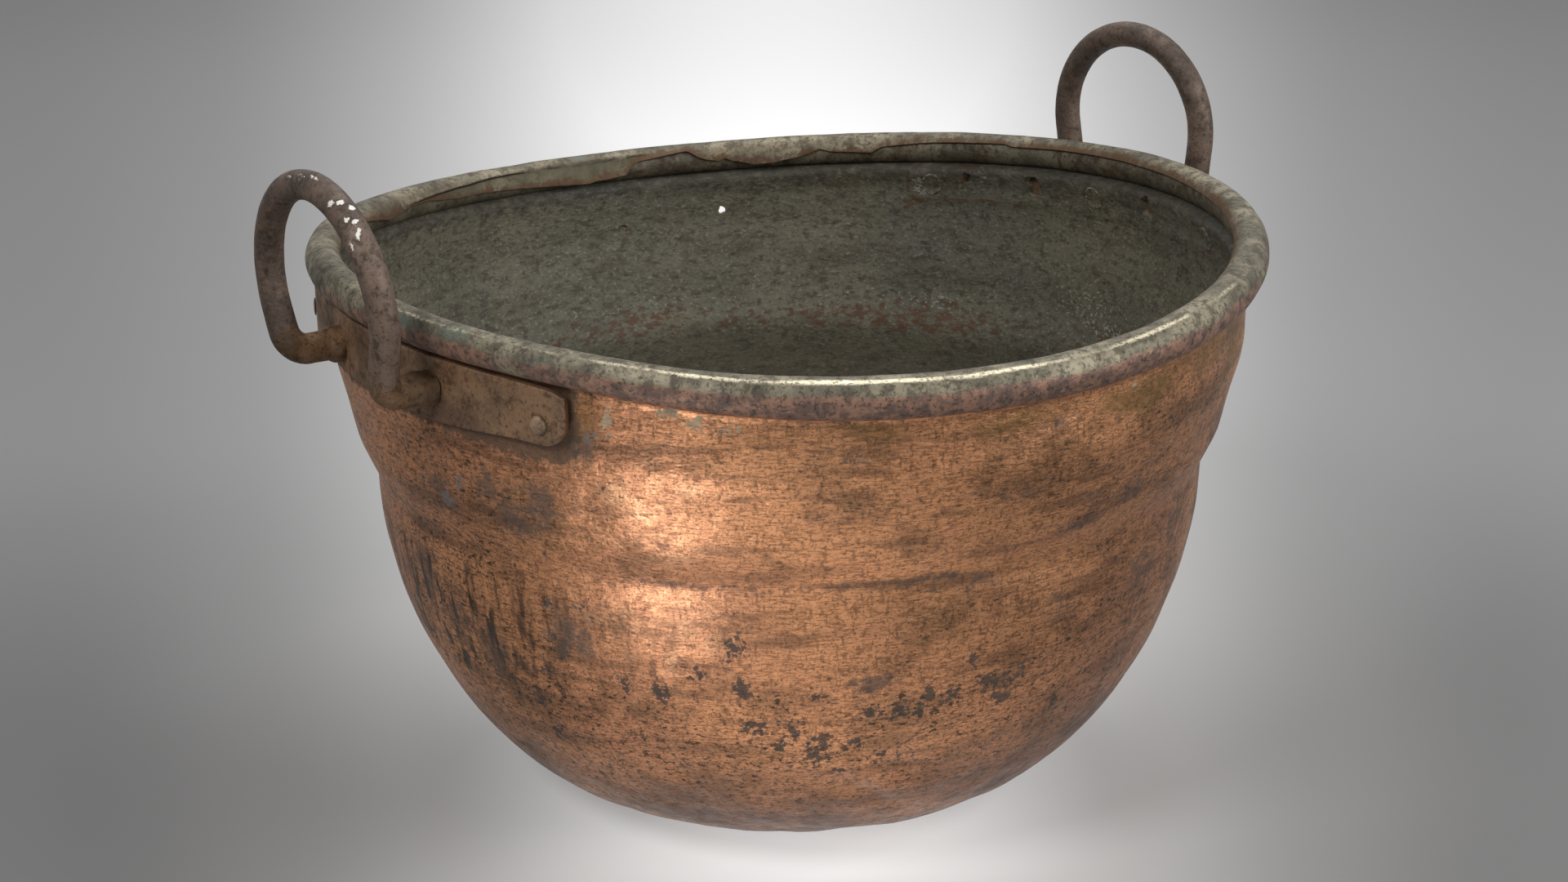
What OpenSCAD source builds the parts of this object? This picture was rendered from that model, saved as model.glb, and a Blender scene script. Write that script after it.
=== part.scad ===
// Copper cauldron with a rolled rim, riveted iron straps and two standing loop handles
// Millimetres, +Z up. The origin is the middle of the flat bottom, where the cauldron stands.
// The handles stand near the X axis, one at +X and one at -X.

/* [Pot] */
// Outside radius of the upright wall just below the rim
wall_r = 285; // [280:1:300]
// Height of the crease above the ground
belly_h = 217; // [197:1:262]
// Thickness of the copper sheet
sheet_t = 2; // [1.4:0.1:2.4]
// Radius of the flat bottom
base_r = 90; // [60:1:100]
// Radius of the round turn between the flat bottom and the side
knuckle_r = 146; // [120:1:152]
// How much narrower the pot is at the crease than at the rim, on the radius
crease_in = 24; // [20:1:32]
// Radius of the hollow of the crease
crease_hollow = 8; // [5:0.5:12]
// Lean of the ledge above the crease, outward from upright
ledge_lean = 25; // [18:1:28]
// Length of the ledge along its slope
ledge_len = 22; // [16:1:24]
// Radius of the shoulder above the ledge
shoulder_round = 30; // [20:1:40]
// Height above the crease from which the wall stands upright
neck_rise = 83; // [76:1:95]
// Radius of the last bend below the upright wall
neck_round = 60; // [30:1:70]
// Height of the upright wall up to the middle of the rolled rim
wall_rise = 45; // [43:0.5:50]

/* [Rolled rim] */
// Thickness of the iron ring inside the roll
rod_d = 18; // [15:0.1:19]
// How far the middle of the roll lies outside the wall
roll_out = 1.5; // [0.5:0.25:4]
// Space all round the iron ring
rod_gap = 0.15; // [0.1:0.05:0.3]
// Radius of the small hollow where the wall turns out into the roll
roll_hollow = 2; // [1.5:0.25:2.5]
// Angle round the roll at which the sheet ends inside, where 180 is the top of the rim
short_lip_end = 250; // [230:1:262]
// The same angle for the long lip at the back
long_lip_end = 300; // [285:1:310]
// Direction in which the long lip begins
long_lip_from = 40; // [34:1:43]
// Direction in which the long lip ends
long_lip_to = 111; // [108:1:140]
// Directions of the tears in the long lip
tear_az = [49, 63, 76, 88, 104]; // [0:1:359]
// Lengths of those tears along the edge
tear_len = [26, 44, 24, 36, 30]; // [10:1:60]
// How far each tear reaches up from the edge of the lip
tear_h = [2.2, 3.4, 2.6, 3.8, 2.4]; // [1:0.1:4.5]

/* [Straps] */
// Height of the right strap
right_strap_h = 22; // [20:0.5:34]
// Height of the left strap
left_strap_h = 36.5; // [30:0.5:38]
// Thickness of each strap
strap_t = 4; // [3:0.25:5]
// Space between the turn of the wall under the roll and the top of the straps
strap_gap = 0.9; // [0.6:0.1:1.5]
// Half of the angle that a strap covers
strap_half = 31.5; // [31:0.5:36]
// Radius of the rounded corners of a strap
strap_corner = 8; // [4:0.5:9]
// Space left between pieces that lie against each other
seat_gap = 0.1; // [0.05:0.05:0.2]

/* [Handles] */
// Direction of the right handle
right_az = 0.9; // [-4:0.05:4]
// Direction of the left handle
left_az = 175; // [172:0.05:184]
// Outward lean of the right handle
right_lean = -1; // [-3:0.5:6]
// Outward lean of the left handle
left_lean = 3.5; // [-1:0.5:6]
// How far the right loop is turned out of square with the wall
right_turn = -1.5; // [-5:0.5:5]
// How far the left loop is turned out of square with the wall
left_turn = -3.5; // [-5:0.5:5]
// Thickness of the round handle bar
bar_d = 17.2; // [14:0.1:18.5]
// Distance from the outside of the right strap to the plane of its loop
right_stand = 28.5; // [27:0.5:42]
// Distance from the outside of the left strap to the plane of its loop
left_stand = 25.5; // [24.5:0.5:42]
// Space between the roll and the collars of the right handle
right_foot_gap = 0.7; // [0.4:0.1:2]
// The same space at the left handle, whose feet sit lower
left_foot_gap = 11.5; // [8:0.5:14]
// Radius of the bend between foot and leg, along the middle of the bar
knee_r = 14; // [11:0.5:16]
// Radius of the arch of the right loop, along the middle of the bar
right_arch_r = 61; // [56:0.5:66]
// Radius of the arch of the left loop
left_arch_r = 65.5; // [58:0.5:68]
// Angle at which the straight legs of the right loop draw in towards the feet
right_leg_in = 8.6; // [4:0.2:14]
// The same angle of the left loop
left_leg_in = 16.8; // [6:0.2:20]
// Length of the straight legs of the right loop, with the knee drawn as a corner
right_leg = 36; // [28:1:46]
// Length of the straight legs of the left loop
left_leg = 27; // [25:1:44]
// Thickness of the collar against the strap
collar_d = 20.5; // [19.5:0.25:23]
// Length of the collar
collar_len = 5; // [3:0.5:8]
// Width of the flat tang that passes through strap and wall
tang_w = 9; // [6:0.5:11]
// Height of the flat tang
tang_h = 13; // [9:0.5:13]
// Space round the tang in its slots
tang_gap = 0.1; // [0.1:0.05:0.5]
// How far the burred end of the tang stands out inside the pot
tang_end = 0.8; // [0.3:0.1:2]

/* [Rivets] */
// Angle from the middle of a strap to its end rivets
rivet_az = 28; // [26:0.5:28.5]
// Thickness of the rivet shanks
rivet_d = 6; // [4:0.5:8]
// Space round a shank in its hole
rivet_gap = 0.1; // [0.05:0.05:0.2]
// Width of the hammered heads outside
rivet_head_d = 9; // [8.5:0.5:12]
// Height of the hammered heads outside
rivet_head_h = 2; // [1.2:0.1:3.5]
// Width of the flat heads inside
rivet_disc_d = 16; // [10:0.5:18]
// Thickness of the flat heads inside
rivet_disc_h = 1.3; // [0.8:0.1:2]

/* [Old holes] */
// Width of the hole worn through the back wall
worn_hole_d = 5; // [3:0.5:8]
// Direction of that hole
worn_hole_az = 60.5; // [45:0.5:120]
// Depth of that hole below the middle of the rim
worn_hole_drop = 39; // [20:1:90]
// Width of the square nail hole through the wall and the right strap
nail_hole_w = 6.5; // [4:0.5:8]
// Direction of the nail hole from the right handle
nail_hole_az = 22.2; // [18:0.2:23]
// Depth of the nail hole below the top of the strap
nail_hole_in = 5.5; // [5:0.5:9]
// Width of the pit left inside by an old rivet
old_rivet_d = 6; // [4:0.5:10]
// Depth of that pit
old_rivet_pit = 0.8; // [0.3:0.1:1.1]
// Direction of that pit
old_rivet_az = 75.5; // [70:0.5:120]
// Depth of the old rivet below the middle of the rim
old_rivet_drop = 46; // [24:1:48]

/* [Hidden] */
$fn = 180;

copper = [0.72, 0.42, 0.27];
iron = [0.32, 0.27, 0.25];
rusty_iron = [0.36, 0.27, 0.21];

// Outside radius of the roll, its middle, and the middle of the small hollow below it
rim_h = belly_h + neck_rise + wall_rise;
roll_r = rod_d / 2 + rod_gap + sheet_t;
roll_c = [wall_r + roll_out, rim_h];
hollow_rise = sqrt(pow(roll_r + roll_hollow, 2) - pow(roll_hollow - roll_out, 2));
roll_hollow_c = [wall_r + roll_hollow, rim_h - hollow_rise];
// Angle round the roll at which the wall has turned out under it
roll_start = asin((roll_hollow - roll_out) / (roll_r + roll_hollow));

// Places that the pot, the straps, the handles and the rivets share
strap_top = roll_hollow_c[1] - strap_gap;
strap_in = wall_r + seat_gap;
strap_out = strap_in + strap_t;
rivet_azs = [-rivet_az, 0, rivet_az];
crease_r = wall_r - crease_in;
neck_h = belly_h + neck_rise;

// What differs between the two sides of the pot, where 0 is the right side and 1 the left
side_az = [right_az, left_az];
strap_h = [right_strap_h, left_strap_h];
lean = [right_lean, left_lean];
loop_turn = [right_turn, left_turn];
loop_out = [strap_out + right_stand, strap_out + left_stand];
foot_h = [for (gap = [right_foot_gap, left_foot_gap]) rim_h - roll_r - gap - collar_d / 2];
arch_r = [right_arch_r, left_arch_r];
leg_in = [right_leg_in, left_leg_in];
leg = [right_leg, left_leg];
rivet_h = [for (h = strap_h) strap_top - h / 2];
// Half of the distance between the feet in the plane of the loop, the same along the wall, and
// the height of the middle of the arch above the feet
foot_half = [for (i = [0, 1]) arch_r[i] * cos(leg_in[i]) - leg[i] * sin(leg_in[i])];
foot_y = [for (i = [0, 1]) foot_half[i] * cos(loop_turn[i])];
arch_h = [for (i = [0, 1]) arch_r[i] * sin(leg_in[i]) + leg[i] * cos(leg_in[i])];

// Angular step of the round stretches of the profile, and of the small ones
step = 3;
fine_step = 12;
// How far outside the long edges of a strap its round corners start
corner_spare = 0.2;
corner_step = 15;

function dir(a) = [sin(a), -cos(a)];
function unit(v) = v / norm(v);
function reversed(list) = [for (i = [len(list) - 1:-1:0]) list[i]];
function arc(c, r, a0, a1, st) = let(n = max(1, ceil(abs(a1 - a0) / st)))
    [for (i = [0:n]) c + r * dir(a0 + (a1 - a0) * i / n)];

// The side of the pot is a chain of tangent arcs. An angle is that of the outward normal,
// from 0 for straight down to 90 for level.
knuckle_c = [base_r, knuckle_r];
belly_dx = crease_r - base_r;
belly_dz = belly_h - knuckle_r;
belly_r = (pow(belly_dx, 2) + pow(belly_dz, 2) - pow(knuckle_r, 2)) / (2 * (belly_dx - knuckle_r));
belly_c = [crease_r - belly_r, belly_h];
belly_a = asin((knuckle_c[0] - belly_c[0]) / (belly_r - knuckle_r));
crease_c = [crease_r + crease_hollow, belly_h];
ledge_a = 90 - ledge_lean;
ledge_0 = crease_c - crease_hollow * dir(ledge_a);
ledge_1 = ledge_0 + ledge_len * [sin(ledge_lean), cos(ledge_lean)];
shoulder_c = ledge_1 - shoulder_round * dir(ledge_a);
neck_c = [wall_r - neck_round, neck_h];
side_d = neck_c - shoulder_c;
side_a = atan2(side_d[1], side_d[0]) + asin((shoulder_round - neck_round) / norm(side_d));

// The profile of one face of the sheet, where depth is how far it lies inside the outer face
function profile(depth) = concat(
    [[0, depth]],
    arc(knuckle_c, knuckle_r - depth, 0, belly_a, step),
    arc(belly_c, belly_r - depth, belly_a + step / 2, 90, step),
    arc(crease_c, -(crease_hollow + depth), 90 - fine_step / 2, ledge_a, fine_step / 2),
    arc(shoulder_c, shoulder_round - depth, ledge_a, side_a, step),
    arc(neck_c, neck_round - depth, side_a, 90, step),
    arc(roll_hollow_c, -(roll_hollow + depth), 90, roll_start, 2 * fine_step),
    arc(roll_c, roll_r - depth, roll_start + fine_step / 2, long_lip_end, fine_step));

// Puts a shape that points up in its own frame along the radius of the pot, in direction az
module along_radius(az, h) {
    rotate([0, 0, az]) translate([0, 0, h]) rotate([0, 90, 0]) children();
}

// The slots that the two tangs of a handle pass through
module tang_slots(i) {
    slot = [4 * strap_t + 6 * sheet_t, tang_w + 2 * tang_gap, tang_h + 2 * tang_gap];
    rotate([0, 0, side_az[i]]) for (s = [-1, 1])
        translate([wall_r - sheet_t, s * foot_y[i], foot_h[i]]) cube(slot, center = true);
}

module rivet_holes(i) {
    for (a = rivet_azs) along_radius(side_az[i] + a, rivet_h[i])
        translate([0, 0, wall_r - 2 * sheet_t])
            cylinder(d = rivet_d + 2 * rivet_gap, h = 3 * sheet_t + 2 * strap_t, $fn = 96);
}

// The nail was driven through the right strap and the wall behind it
module nail_hole() {
    along_radius(right_az + nail_hole_az, strap_top - nail_hole_in) translate([0, 0, wall_r])
        cube([nail_hole_w, nail_hole_w, 4 * sheet_t + 4 * strap_t], center = true);
}

// The space inside the roll that the cut edge of the sheet borders, from the roll to the wall
lip_in = roll_c[0] - roll_r - sheet_t;
lip_out = wall_r - 3 / 2 * sheet_t;

// Cuts the sheet short all round but for the long lip at the back
module short_lip_cut() {
    top = rim_h - roll_r * cos(short_lip_end);
    low = rim_h - roll_r;
    rotate([0, 0, long_lip_to]) rotate_extrude(angle = 360 - long_lip_to + long_lip_from)
        translate([lip_in, low]) square([lip_out - lip_in, top - low]);
}

// A tear is a round bite out of the edge of the long lip
module tears() {
    edge_h = rim_h - roll_r * cos(long_lip_end);
    for (i = [0:len(tear_az) - 1]) {
        bite_r = (pow(tear_len[i] / 2, 2) + pow(tear_h[i], 2)) / (2 * tear_h[i]);
        along_radius(tear_az[i], edge_h)
            translate([0, 0, lip_in - sheet_t]) linear_extrude(lip_out - lip_in + sheet_t) intersection() {
                translate([bite_r - tear_h[i], 0]) circle(r = bite_r);
                translate([-2 * tear_h[i], -tear_len[i]]) square([3 * tear_h[i], 2 * tear_len[i]]);
            }
    }
}

module copper_pot() {
    color(copper) difference() {
        rotate_extrude() polygon(concat(profile(0), reversed(profile(sheet_t))));
        for (i = [0, 1]) tang_slots(i);
        for (i = [0, 1]) rivet_holes(i);
        nail_hole();
        along_radius(worn_hole_az, rim_h - worn_hole_drop)
            translate([0, 0, crease_r]) cylinder(d = worn_hole_d, h = 2 * crease_in, $fn = 96);
        along_radius(old_rivet_az, rim_h - old_rivet_drop)
            translate([0, 0, crease_r]) cylinder(d = old_rivet_d, h = crease_in - sheet_t + old_rivet_pit, $fn = 96);
        short_lip_cut();
        tears();
    }
}

module rim_ring() {
    color(iron) rotate_extrude() translate(roll_c) circle(d = rod_d, $fn = 48);
}

// Cuts a strap off at a plane through its end, with two round corners. The rounds start a
// little outside the long edges, so that they meet them at a clear angle.
module strap_end_cut(i) {
    c = strap_corner;
    top = strap_top - c + corner_spare;
    low = strap_top - strap_h[i] + c - corner_spare;
    translate([strap_in - strap_t, 0, 0]) rotate([90, 0, 90]) linear_extrude(3 * strap_t) polygon(concat(
        [for (a = [90:-corner_step:0]) [c * (cos(a) - 1), top + c * sin(a)]],
        [for (a = [90:-corner_step:0]) [c * (sin(a) - 1), low - c * cos(a)]],
        [[2 * c, low - 3 * c], [2 * c, top + 3 * c]]));
}

module strap(i) {
    spare = asin(strap_corner / strap_in);
    color(rusty_iron) difference() {
        rotate([0, 0, side_az[i] - strap_half - spare]) rotate_extrude(angle = 2 * (strap_half + spare))
            translate([strap_in, strap_top - strap_h[i]]) square([strap_t, strap_h[i]]);
        rotate([0, 0, side_az[i] + strap_half]) strap_end_cut(i);
        rotate([0, 0, side_az[i] - strap_half]) mirror([0, 1, 0]) strap_end_cut(i);
        tang_slots(i);
        rivet_holes(i);
        nail_hole();
    }
}

module right_strap() {
    strap(0);
}

module left_strap() {
    strap(1);
}

// The handle's own frame has X out from the pot, Y along the wall and Z up from the feet.
// The middle line of the bar runs foot, knee, leg, arch, leg, knee, foot.
ring_sides = 20;
knee_steps = 6;
arch_steps = 30;

// Where the strap lies at the collars of side i, where the bar ends inside them, and where the
// tangs end inside the pot
function strap_x(i) = sqrt(pow(strap_out, 2) - pow(foot_y[i] - collar_d / 2, 2));
function foot_end(i) = strap_x(i) + collar_len / 2;
function tang_x(i) = sqrt(pow(wall_r - sheet_t, 2) - pow(foot_y[i], 2)) - tang_end;

// Across and up in the plane of the loop
function loop_y(i) = [sin(loop_turn[i]), cos(loop_turn[i]), 0];
function loop_z(i) = [cos(loop_turn[i]) * sin(lean[i]), -sin(loop_turn[i]) * sin(lean[i]), cos(lean[i])];
function loop_point(i, y, z) = [loop_out[i], 0, 0] + y * loop_y(i) + z * loop_z(i);

// One ring of the bar: its middle, the direction of the bar and the side that starts the ring
function ring(c, t, side) = let(
        w = unit(side - (side * t) * t),
        v = cross(t, w))
    [for (j = [0:ring_sides - 1]) let(a = 360 * j / ring_sides) c + bar_d / 2 * (cos(a) * w + sin(a) * v)];

// The rings of one foot and its knee, from the wall to the leg, where s is -1 or 1
function foot_rings(i, s) = let(
        corner = loop_point(i, s * foot_half[i], 0),
        up_leg = s * sin(leg_in[i]) * loop_y(i) + cos(leg_in[i]) * loop_z(i),
        out = [1, 0, 0],
        bend = acos(up_leg * out),
        up = unit(up_leg - (up_leg * out) * out),
        c = corner - knee_r * tan(bend / 2) * out + knee_r * up)
    concat(
        [ring([foot_end(i), corner[1], corner[2]], s * out, s * loop_y(i))],
        [for (k = [0:knee_steps]) let(a = bend * k / knee_steps)
            ring(c + knee_r * (sin(a) * out - cos(a) * up), s * (cos(a) * out + sin(a) * up), s * loop_y(i))]);

function arch_rings(i) = [for (k = [0:arch_steps]) let(
        a = -leg_in[i] + (180 + 2 * leg_in[i]) * k / arch_steps,
        outward = cos(a) * loop_y(i) + sin(a) * loop_z(i),
        along = -sin(a) * loop_y(i) + cos(a) * loop_z(i))
    ring(loop_point(i, 0, arch_h[i]) + arch_r[i] * outward, along, outward)];

module bar(i) {
    rings = concat(foot_rings(i, 1), arch_rings(i), reversed(foot_rings(i, -1)));
    last = len(rings) - 1;
    n = ring_sides;
    polyhedron(
        points = [for (r = rings) for (p = r) p],
        faces = concat(
            [[for (j = [0:n - 1]) j]],
            [for (k = [0:last - 1]) for (j = [0:n - 1])
                [k * n + j, (k + 1) * n + j, (k + 1) * n + (j + 1) % n, k * n + (j + 1) % n]],
            [[for (j = [n - 1:-1:0]) last * n + j]]));
}

module handle(i) {
    color(iron) rotate([0, 0, side_az[i]]) translate([0, 0, foot_h[i]]) {
        bar(i);
        difference() {
            for (s = [-1, 1]) translate([wall_r - 2 * strap_t, s * foot_y[i], 0]) rotate([0, 90, 0])
                cylinder(d = collar_d, h = strap_x(i) + collar_len - wall_r + 2 * strap_t, $fn = 96);
            cylinder(r = strap_out + seat_gap, h = 3 * collar_d, center = true);
        }
        for (s = [-1, 1]) translate([tang_x(i), s * foot_y[i] - tang_w / 2, -tang_h / 2])
            cube([foot_end(i) + collar_len / 4 - tang_x(i), tang_w, tang_h]);
    }
}

module right_handle() {
    handle(0);
}

module left_handle() {
    handle(1);
}

// A rivet with a flat head inside the pot and a small hammered head on the strap
module rivet(i, az) {
    dome_r = (pow(rivet_head_d / 2, 2) + pow(rivet_head_h, 2)) / (2 * rivet_head_h);
    inner_face = wall_r - sheet_t - seat_gap;
    outer_face = strap_out + seat_gap;
    color(rusty_iron) along_radius(side_az[i] + az, rivet_h[i]) {
        translate([0, 0, inner_face - rivet_disc_h])
            cylinder(d = rivet_d, h = outer_face - inner_face + rivet_disc_h + rivet_head_h / 2);
        intersection() {
            translate([0, 0, inner_face - rivet_disc_h]) cylinder(d = rivet_disc_d, h = 2 * rivet_disc_h);
            rotate([0, 90, 0]) cylinder(r = inner_face, h = 2 * rivet_disc_d, center = true, $fn = 720);
        }
        difference() {
            intersection() {
                translate([0, 0, outer_face + rivet_head_h - dome_r]) sphere(r = dome_r);
                translate([0, 0, outer_face - rivet_head_h]) cylinder(d = rivet_head_d, h = 3 * rivet_head_h);
            }
            rotate([0, 90, 0]) cylinder(r = outer_face, h = 2 * rivet_head_d, center = true, $fn = 720);
        }
    }
}

module right_strap_rivet(k) {
    rivet(0, rivet_azs[k - 1]);
}

module left_strap_rivet(k) {
    rivet(1, rivet_azs[k - 1]);
}

copper_pot();
rim_ring();
left_strap();
right_strap();
left_handle();
right_handle();
for (k = [1:3]) {
    left_strap_rivet(k);
    right_strap_rivet(k);
}
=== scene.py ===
import math

import bpy
import numpy as np
from mathutils import Matrix, Vector


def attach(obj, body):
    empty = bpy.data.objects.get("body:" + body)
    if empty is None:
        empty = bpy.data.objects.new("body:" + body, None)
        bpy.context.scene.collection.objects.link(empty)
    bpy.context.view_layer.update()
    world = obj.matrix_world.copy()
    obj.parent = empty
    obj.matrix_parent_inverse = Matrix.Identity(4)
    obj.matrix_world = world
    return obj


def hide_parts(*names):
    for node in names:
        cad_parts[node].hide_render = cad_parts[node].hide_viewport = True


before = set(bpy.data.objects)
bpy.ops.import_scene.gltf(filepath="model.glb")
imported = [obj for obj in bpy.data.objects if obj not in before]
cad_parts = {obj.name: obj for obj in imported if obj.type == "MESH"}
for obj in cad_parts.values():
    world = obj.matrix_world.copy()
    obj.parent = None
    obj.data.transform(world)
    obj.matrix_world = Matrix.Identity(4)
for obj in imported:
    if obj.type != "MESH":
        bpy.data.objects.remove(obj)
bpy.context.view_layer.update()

# Sizes of the CAD, in millimetres. Every mesh is built in millimetres and scaled once.
MM = 0.001
WALL_R, RIM_H, SHEET = 285.0, 345.0, 2.0
BASE_R, KNUCKLE_R = 90.0, 146.0         # the flat bottom and the turn out of it
CREASE_R, CREASE_H, CREASE_HOLLOW = 261.0, 217.0, 8.0
LEDGE_LEAN, LEDGE_LEN, SHOULDER_R = 25.0, 22.0, 30.0
NECK_H, NECK_R = 300.0, 60.0
ROLL_C = (286.5, 345.0)                 # middle of the roll, as distance from the axis and height
ROLL_W, ROLL_H = 10.9, 12.0             # half of its width and of its height
ROLL_START, ROLL_HOLLOW = 2.2, 2.0      # angle at which it leaves the wall, small hollow below it
ROLL_MID = 11.0                         # radius at which noise is sampled round the roll
STRAP_TOP, STRAP_T, STRAP_HALF, STRAP_CORNER = 331.0, 4.0, 31.5, 8.0
RIVET_AZ = 28.0
# The two sides of the pot: direction, height of the strap, height of the feet, lean and turn of the
# loop, distance of its plane, radius of its arch, angle and length of its legs, radius of its knees
SIDES = {
    "right": dict(az=0.9, strap_h=22.0, foot_h=322.9, lean=-1.0, turn=-1.5, out=317.6,
                  arch=61.0, leg_in=8.6, leg=36.0, knees=(14.0, 14.0)),
    "left": dict(az=175.0, strap_h=36.5, foot_h=312.1, lean=3.5, turn=-3.5, out=314.6,
                 arch=65.5, leg_in=16.8, leg=27.0, knees=(9.6, 14.0)),
}
BAR_D = 17.2
FOOT_START = 282.0                      # where the bar of a handle begins, inside the wall
CAMERA_AZ = -38.85                      # from where the photograph was taken, as a direction


# ---- noise and small helpers
def smooth(lo, hi, x):
    """0 at lo and 1 at hi, with a soft step between."""
    t = np.clip((x - lo) / (hi - lo), 0, 1)
    return t * t * (3 - 2 * t)


def lattice(i, j, k, seed):
    """A fixed random value from -1 to 1 for each point of a lattice."""
    h = (i * 374761393 + j * 668265263 + k * 2147483647 + seed * 1274126177) & 0xFFFFFFFF
    h = ((h ^ (h >> 13)) * 1274126177) & 0xFFFFFFFF
    h = ((h ^ (h >> 16)) * 2246822519) & 0xFFFFFFFF
    return ((h ^ (h >> 15)) & 0xFFFF) / 32767.5 - 1


def noise(p, size, seed=0, octaves=1):
    """Smooth noise from -1 to 1 at points p in millimetres, with features of that size."""
    out, gain, total = 0, 1.0, 0.0
    for o in range(octaves):
        q = np.asarray(p, float) / size + 1000.5
        c = np.floor(q).astype(np.int64)
        f = q - c
        f = f * f * f * (f * (f * 6 - 15) + 10)
        v = 0
        for dx in (0, 1):
            for dy in (0, 1):
                for dz in (0, 1):
                    w = ((f[..., 0] if dx else 1 - f[..., 0]) * (f[..., 1] if dy else 1 - f[..., 1])
                         * (f[..., 2] if dz else 1 - f[..., 2]))
                    corner = c[..., 0] + dx, c[..., 1] + dy, c[..., 2] + dz
                    v = v + w * lattice(*corner, seed + 17 * o)
        out = out + gain * v
        total += gain
        gain *= 0.5
        size = size / 2
    return out / total


def polar(r, az, z):
    """Points at distance r from the axis, in direction az in degrees, at height z."""
    a = np.radians(az)
    return np.stack([r * np.cos(a), r * np.sin(a), z + 0 * a], -1)


def turn(az, centre):
    """Signed difference of two directions, in degrees."""
    return (az - centre + 180) % 360 - 180


def peak(x, centre, width):
    """1 where x is centre, falling off on both sides of it."""
    return np.exp(-((x - centre) / width) ** 2)


def bell(az, centre, width):
    """1 in one direction, falling off on both sides of it."""
    return peak(turn(az, centre), 0, width)


# ---- the shape of the pot
def arc(c, r, a0, a1, step=0.4):
    """Points along a round stretch of the profile. An angle is that of the outward normal."""
    n = max(2, int(abs(a1 - a0) * abs(r) * math.pi / 180 / step) + 1)
    a = np.radians(np.linspace(a0, a1, n))
    return np.stack([c[0] + r * np.sin(a), c[1] - r * np.cos(a)], -1)


def normal_at(a):
    """The outward direction at an angle of the profile, where 0 looks down and 90 outward."""
    return np.array([math.sin(math.radians(a)), -math.cos(math.radians(a))])


def make_profile():
    """The outer face of the sheet from the axis to the roll: place along it, r, z and normal."""
    knuckle_c = np.array([BASE_R, KNUCKLE_R])
    dx, dz = CREASE_R - BASE_R, CREASE_H - KNUCKLE_R
    belly_r = (dx ** 2 + dz ** 2 - KNUCKLE_R ** 2) / (2 * (dx - KNUCKLE_R))
    belly_c = np.array([CREASE_R - belly_r, CREASE_H])
    belly_a = math.degrees(math.asin((BASE_R - belly_c[0]) / (belly_r - KNUCKLE_R)))
    crease_c = np.array([CREASE_R + CREASE_HOLLOW, CREASE_H])
    ledge_a = 90 - LEDGE_LEAN
    ledge_0 = crease_c - CREASE_HOLLOW * normal_at(ledge_a)
    lean = math.radians(LEDGE_LEAN)
    ledge_1 = ledge_0 + LEDGE_LEN * np.array([math.sin(lean), math.cos(lean)])
    shoulder_c = ledge_1 - SHOULDER_R * normal_at(ledge_a)
    neck_c = np.array([WALL_R - NECK_R, NECK_H])
    d = neck_c - shoulder_c
    side_a = math.atan2(d[1], d[0]) + math.asin((SHOULDER_R - NECK_R) / np.linalg.norm(d))
    side_a = math.degrees(side_a)
    hollow_c = np.array([WALL_R + ROLL_HOLLOW, STRAP_TOP + 0.1])
    parts = [np.stack([np.linspace(0, BASE_R, 60)[:-1], np.zeros(59)], -1),
             arc(knuckle_c, KNUCKLE_R, 0, belly_a),
             arc(belly_c, belly_r, belly_a, 90),
             arc(crease_c, -CREASE_HOLLOW, 90, ledge_a),
             arc(shoulder_c, SHOULDER_R, ledge_a, side_a),
             arc(neck_c, NECK_R, side_a, 90),
             arc(hollow_c, -ROLL_HOLLOW, 90, ROLL_START)]
    p = np.concatenate(parts)
    p = p[np.concatenate([[True], np.linalg.norm(np.diff(p, axis=0), axis=1) > 1e-6])]
    s = np.concatenate([[0], np.cumsum(np.linalg.norm(np.diff(p, axis=0), axis=1))])
    fine = np.linspace(0, s[-1], 3000)
    r, z = np.interp(fine, s, p[:, 0]), np.interp(fine, s, p[:, 1])
    tr, tz = np.gradient(r, fine), np.gradient(z, fine)
    m = np.hypot(tr, tz)
    return fine, r, z, tz / m, -tr / m


PS, PR, PZ, PNR, PNZ = make_profile()
S_END = PS[-1]


def s_at(z):
    """Place along the profile of a height above the knuckle."""
    i = np.searchsorted(PZ, 1.0)
    return np.interp(z, PZ[i:], PS[i:])


S_KNUCKLE, S_CREASE = BASE_R, float(s_at(CREASE_H))

# The rim of the old pot is no longer flat or round. Harmonics of its height and radius by the
# direction seen from the camera's side, as shares of the wall's radius.
WARP_Z = (0.0066, -0.0003, 0.0223, 0.0222, 0.0006, -0.0022)
WARP_R = (0.0, 0.0, -0.0009, -0.0148, -0.0032, 0.0017)


def warp(p):
    """The bends of the old pot's upper part, and the small one of its rim past the left handle."""
    p = np.array(p, float)
    a = np.arctan2(p[..., 1], p[..., 0]) - math.radians(CAMERA_AZ)
    waves = [np.cos(a), np.sin(a), np.cos(2 * a), np.sin(2 * a), np.cos(3 * a), np.sin(3 * a)]
    w = smooth(205, 315, p[..., 2])
    grow = 1 + w * sum(k * v for k, v in zip(WARP_R, waves))
    bent_up = 2.0 * bell(np.degrees(a) + CAMERA_AZ, 206.0, 16) * smooth(322, 338, p[..., 2])
    p[..., 2] += WALL_R * w * sum(k * v for k, v in zip(WARP_Z, waves)) + bent_up
    p[..., 0] *= grow
    p[..., 1] *= grow
    return p


def roll_size(az):
    """How thick the roll is by direction: it was hammered thinner beside the left handle."""
    return 1 - 0.14 * bell(az, 196.0, 24) + 0.03 * bell(az, 285.0, 30)


rng = np.random.default_rng(11)


def scattered(count, s_lo, s_hi):
    """Random places on the side of the pot, as (place along the profile, direction)."""
    s = rng.uniform(s_lo, s_hi, count)
    return np.stack([s, rng.uniform(0, 360, count)], -1)


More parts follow.
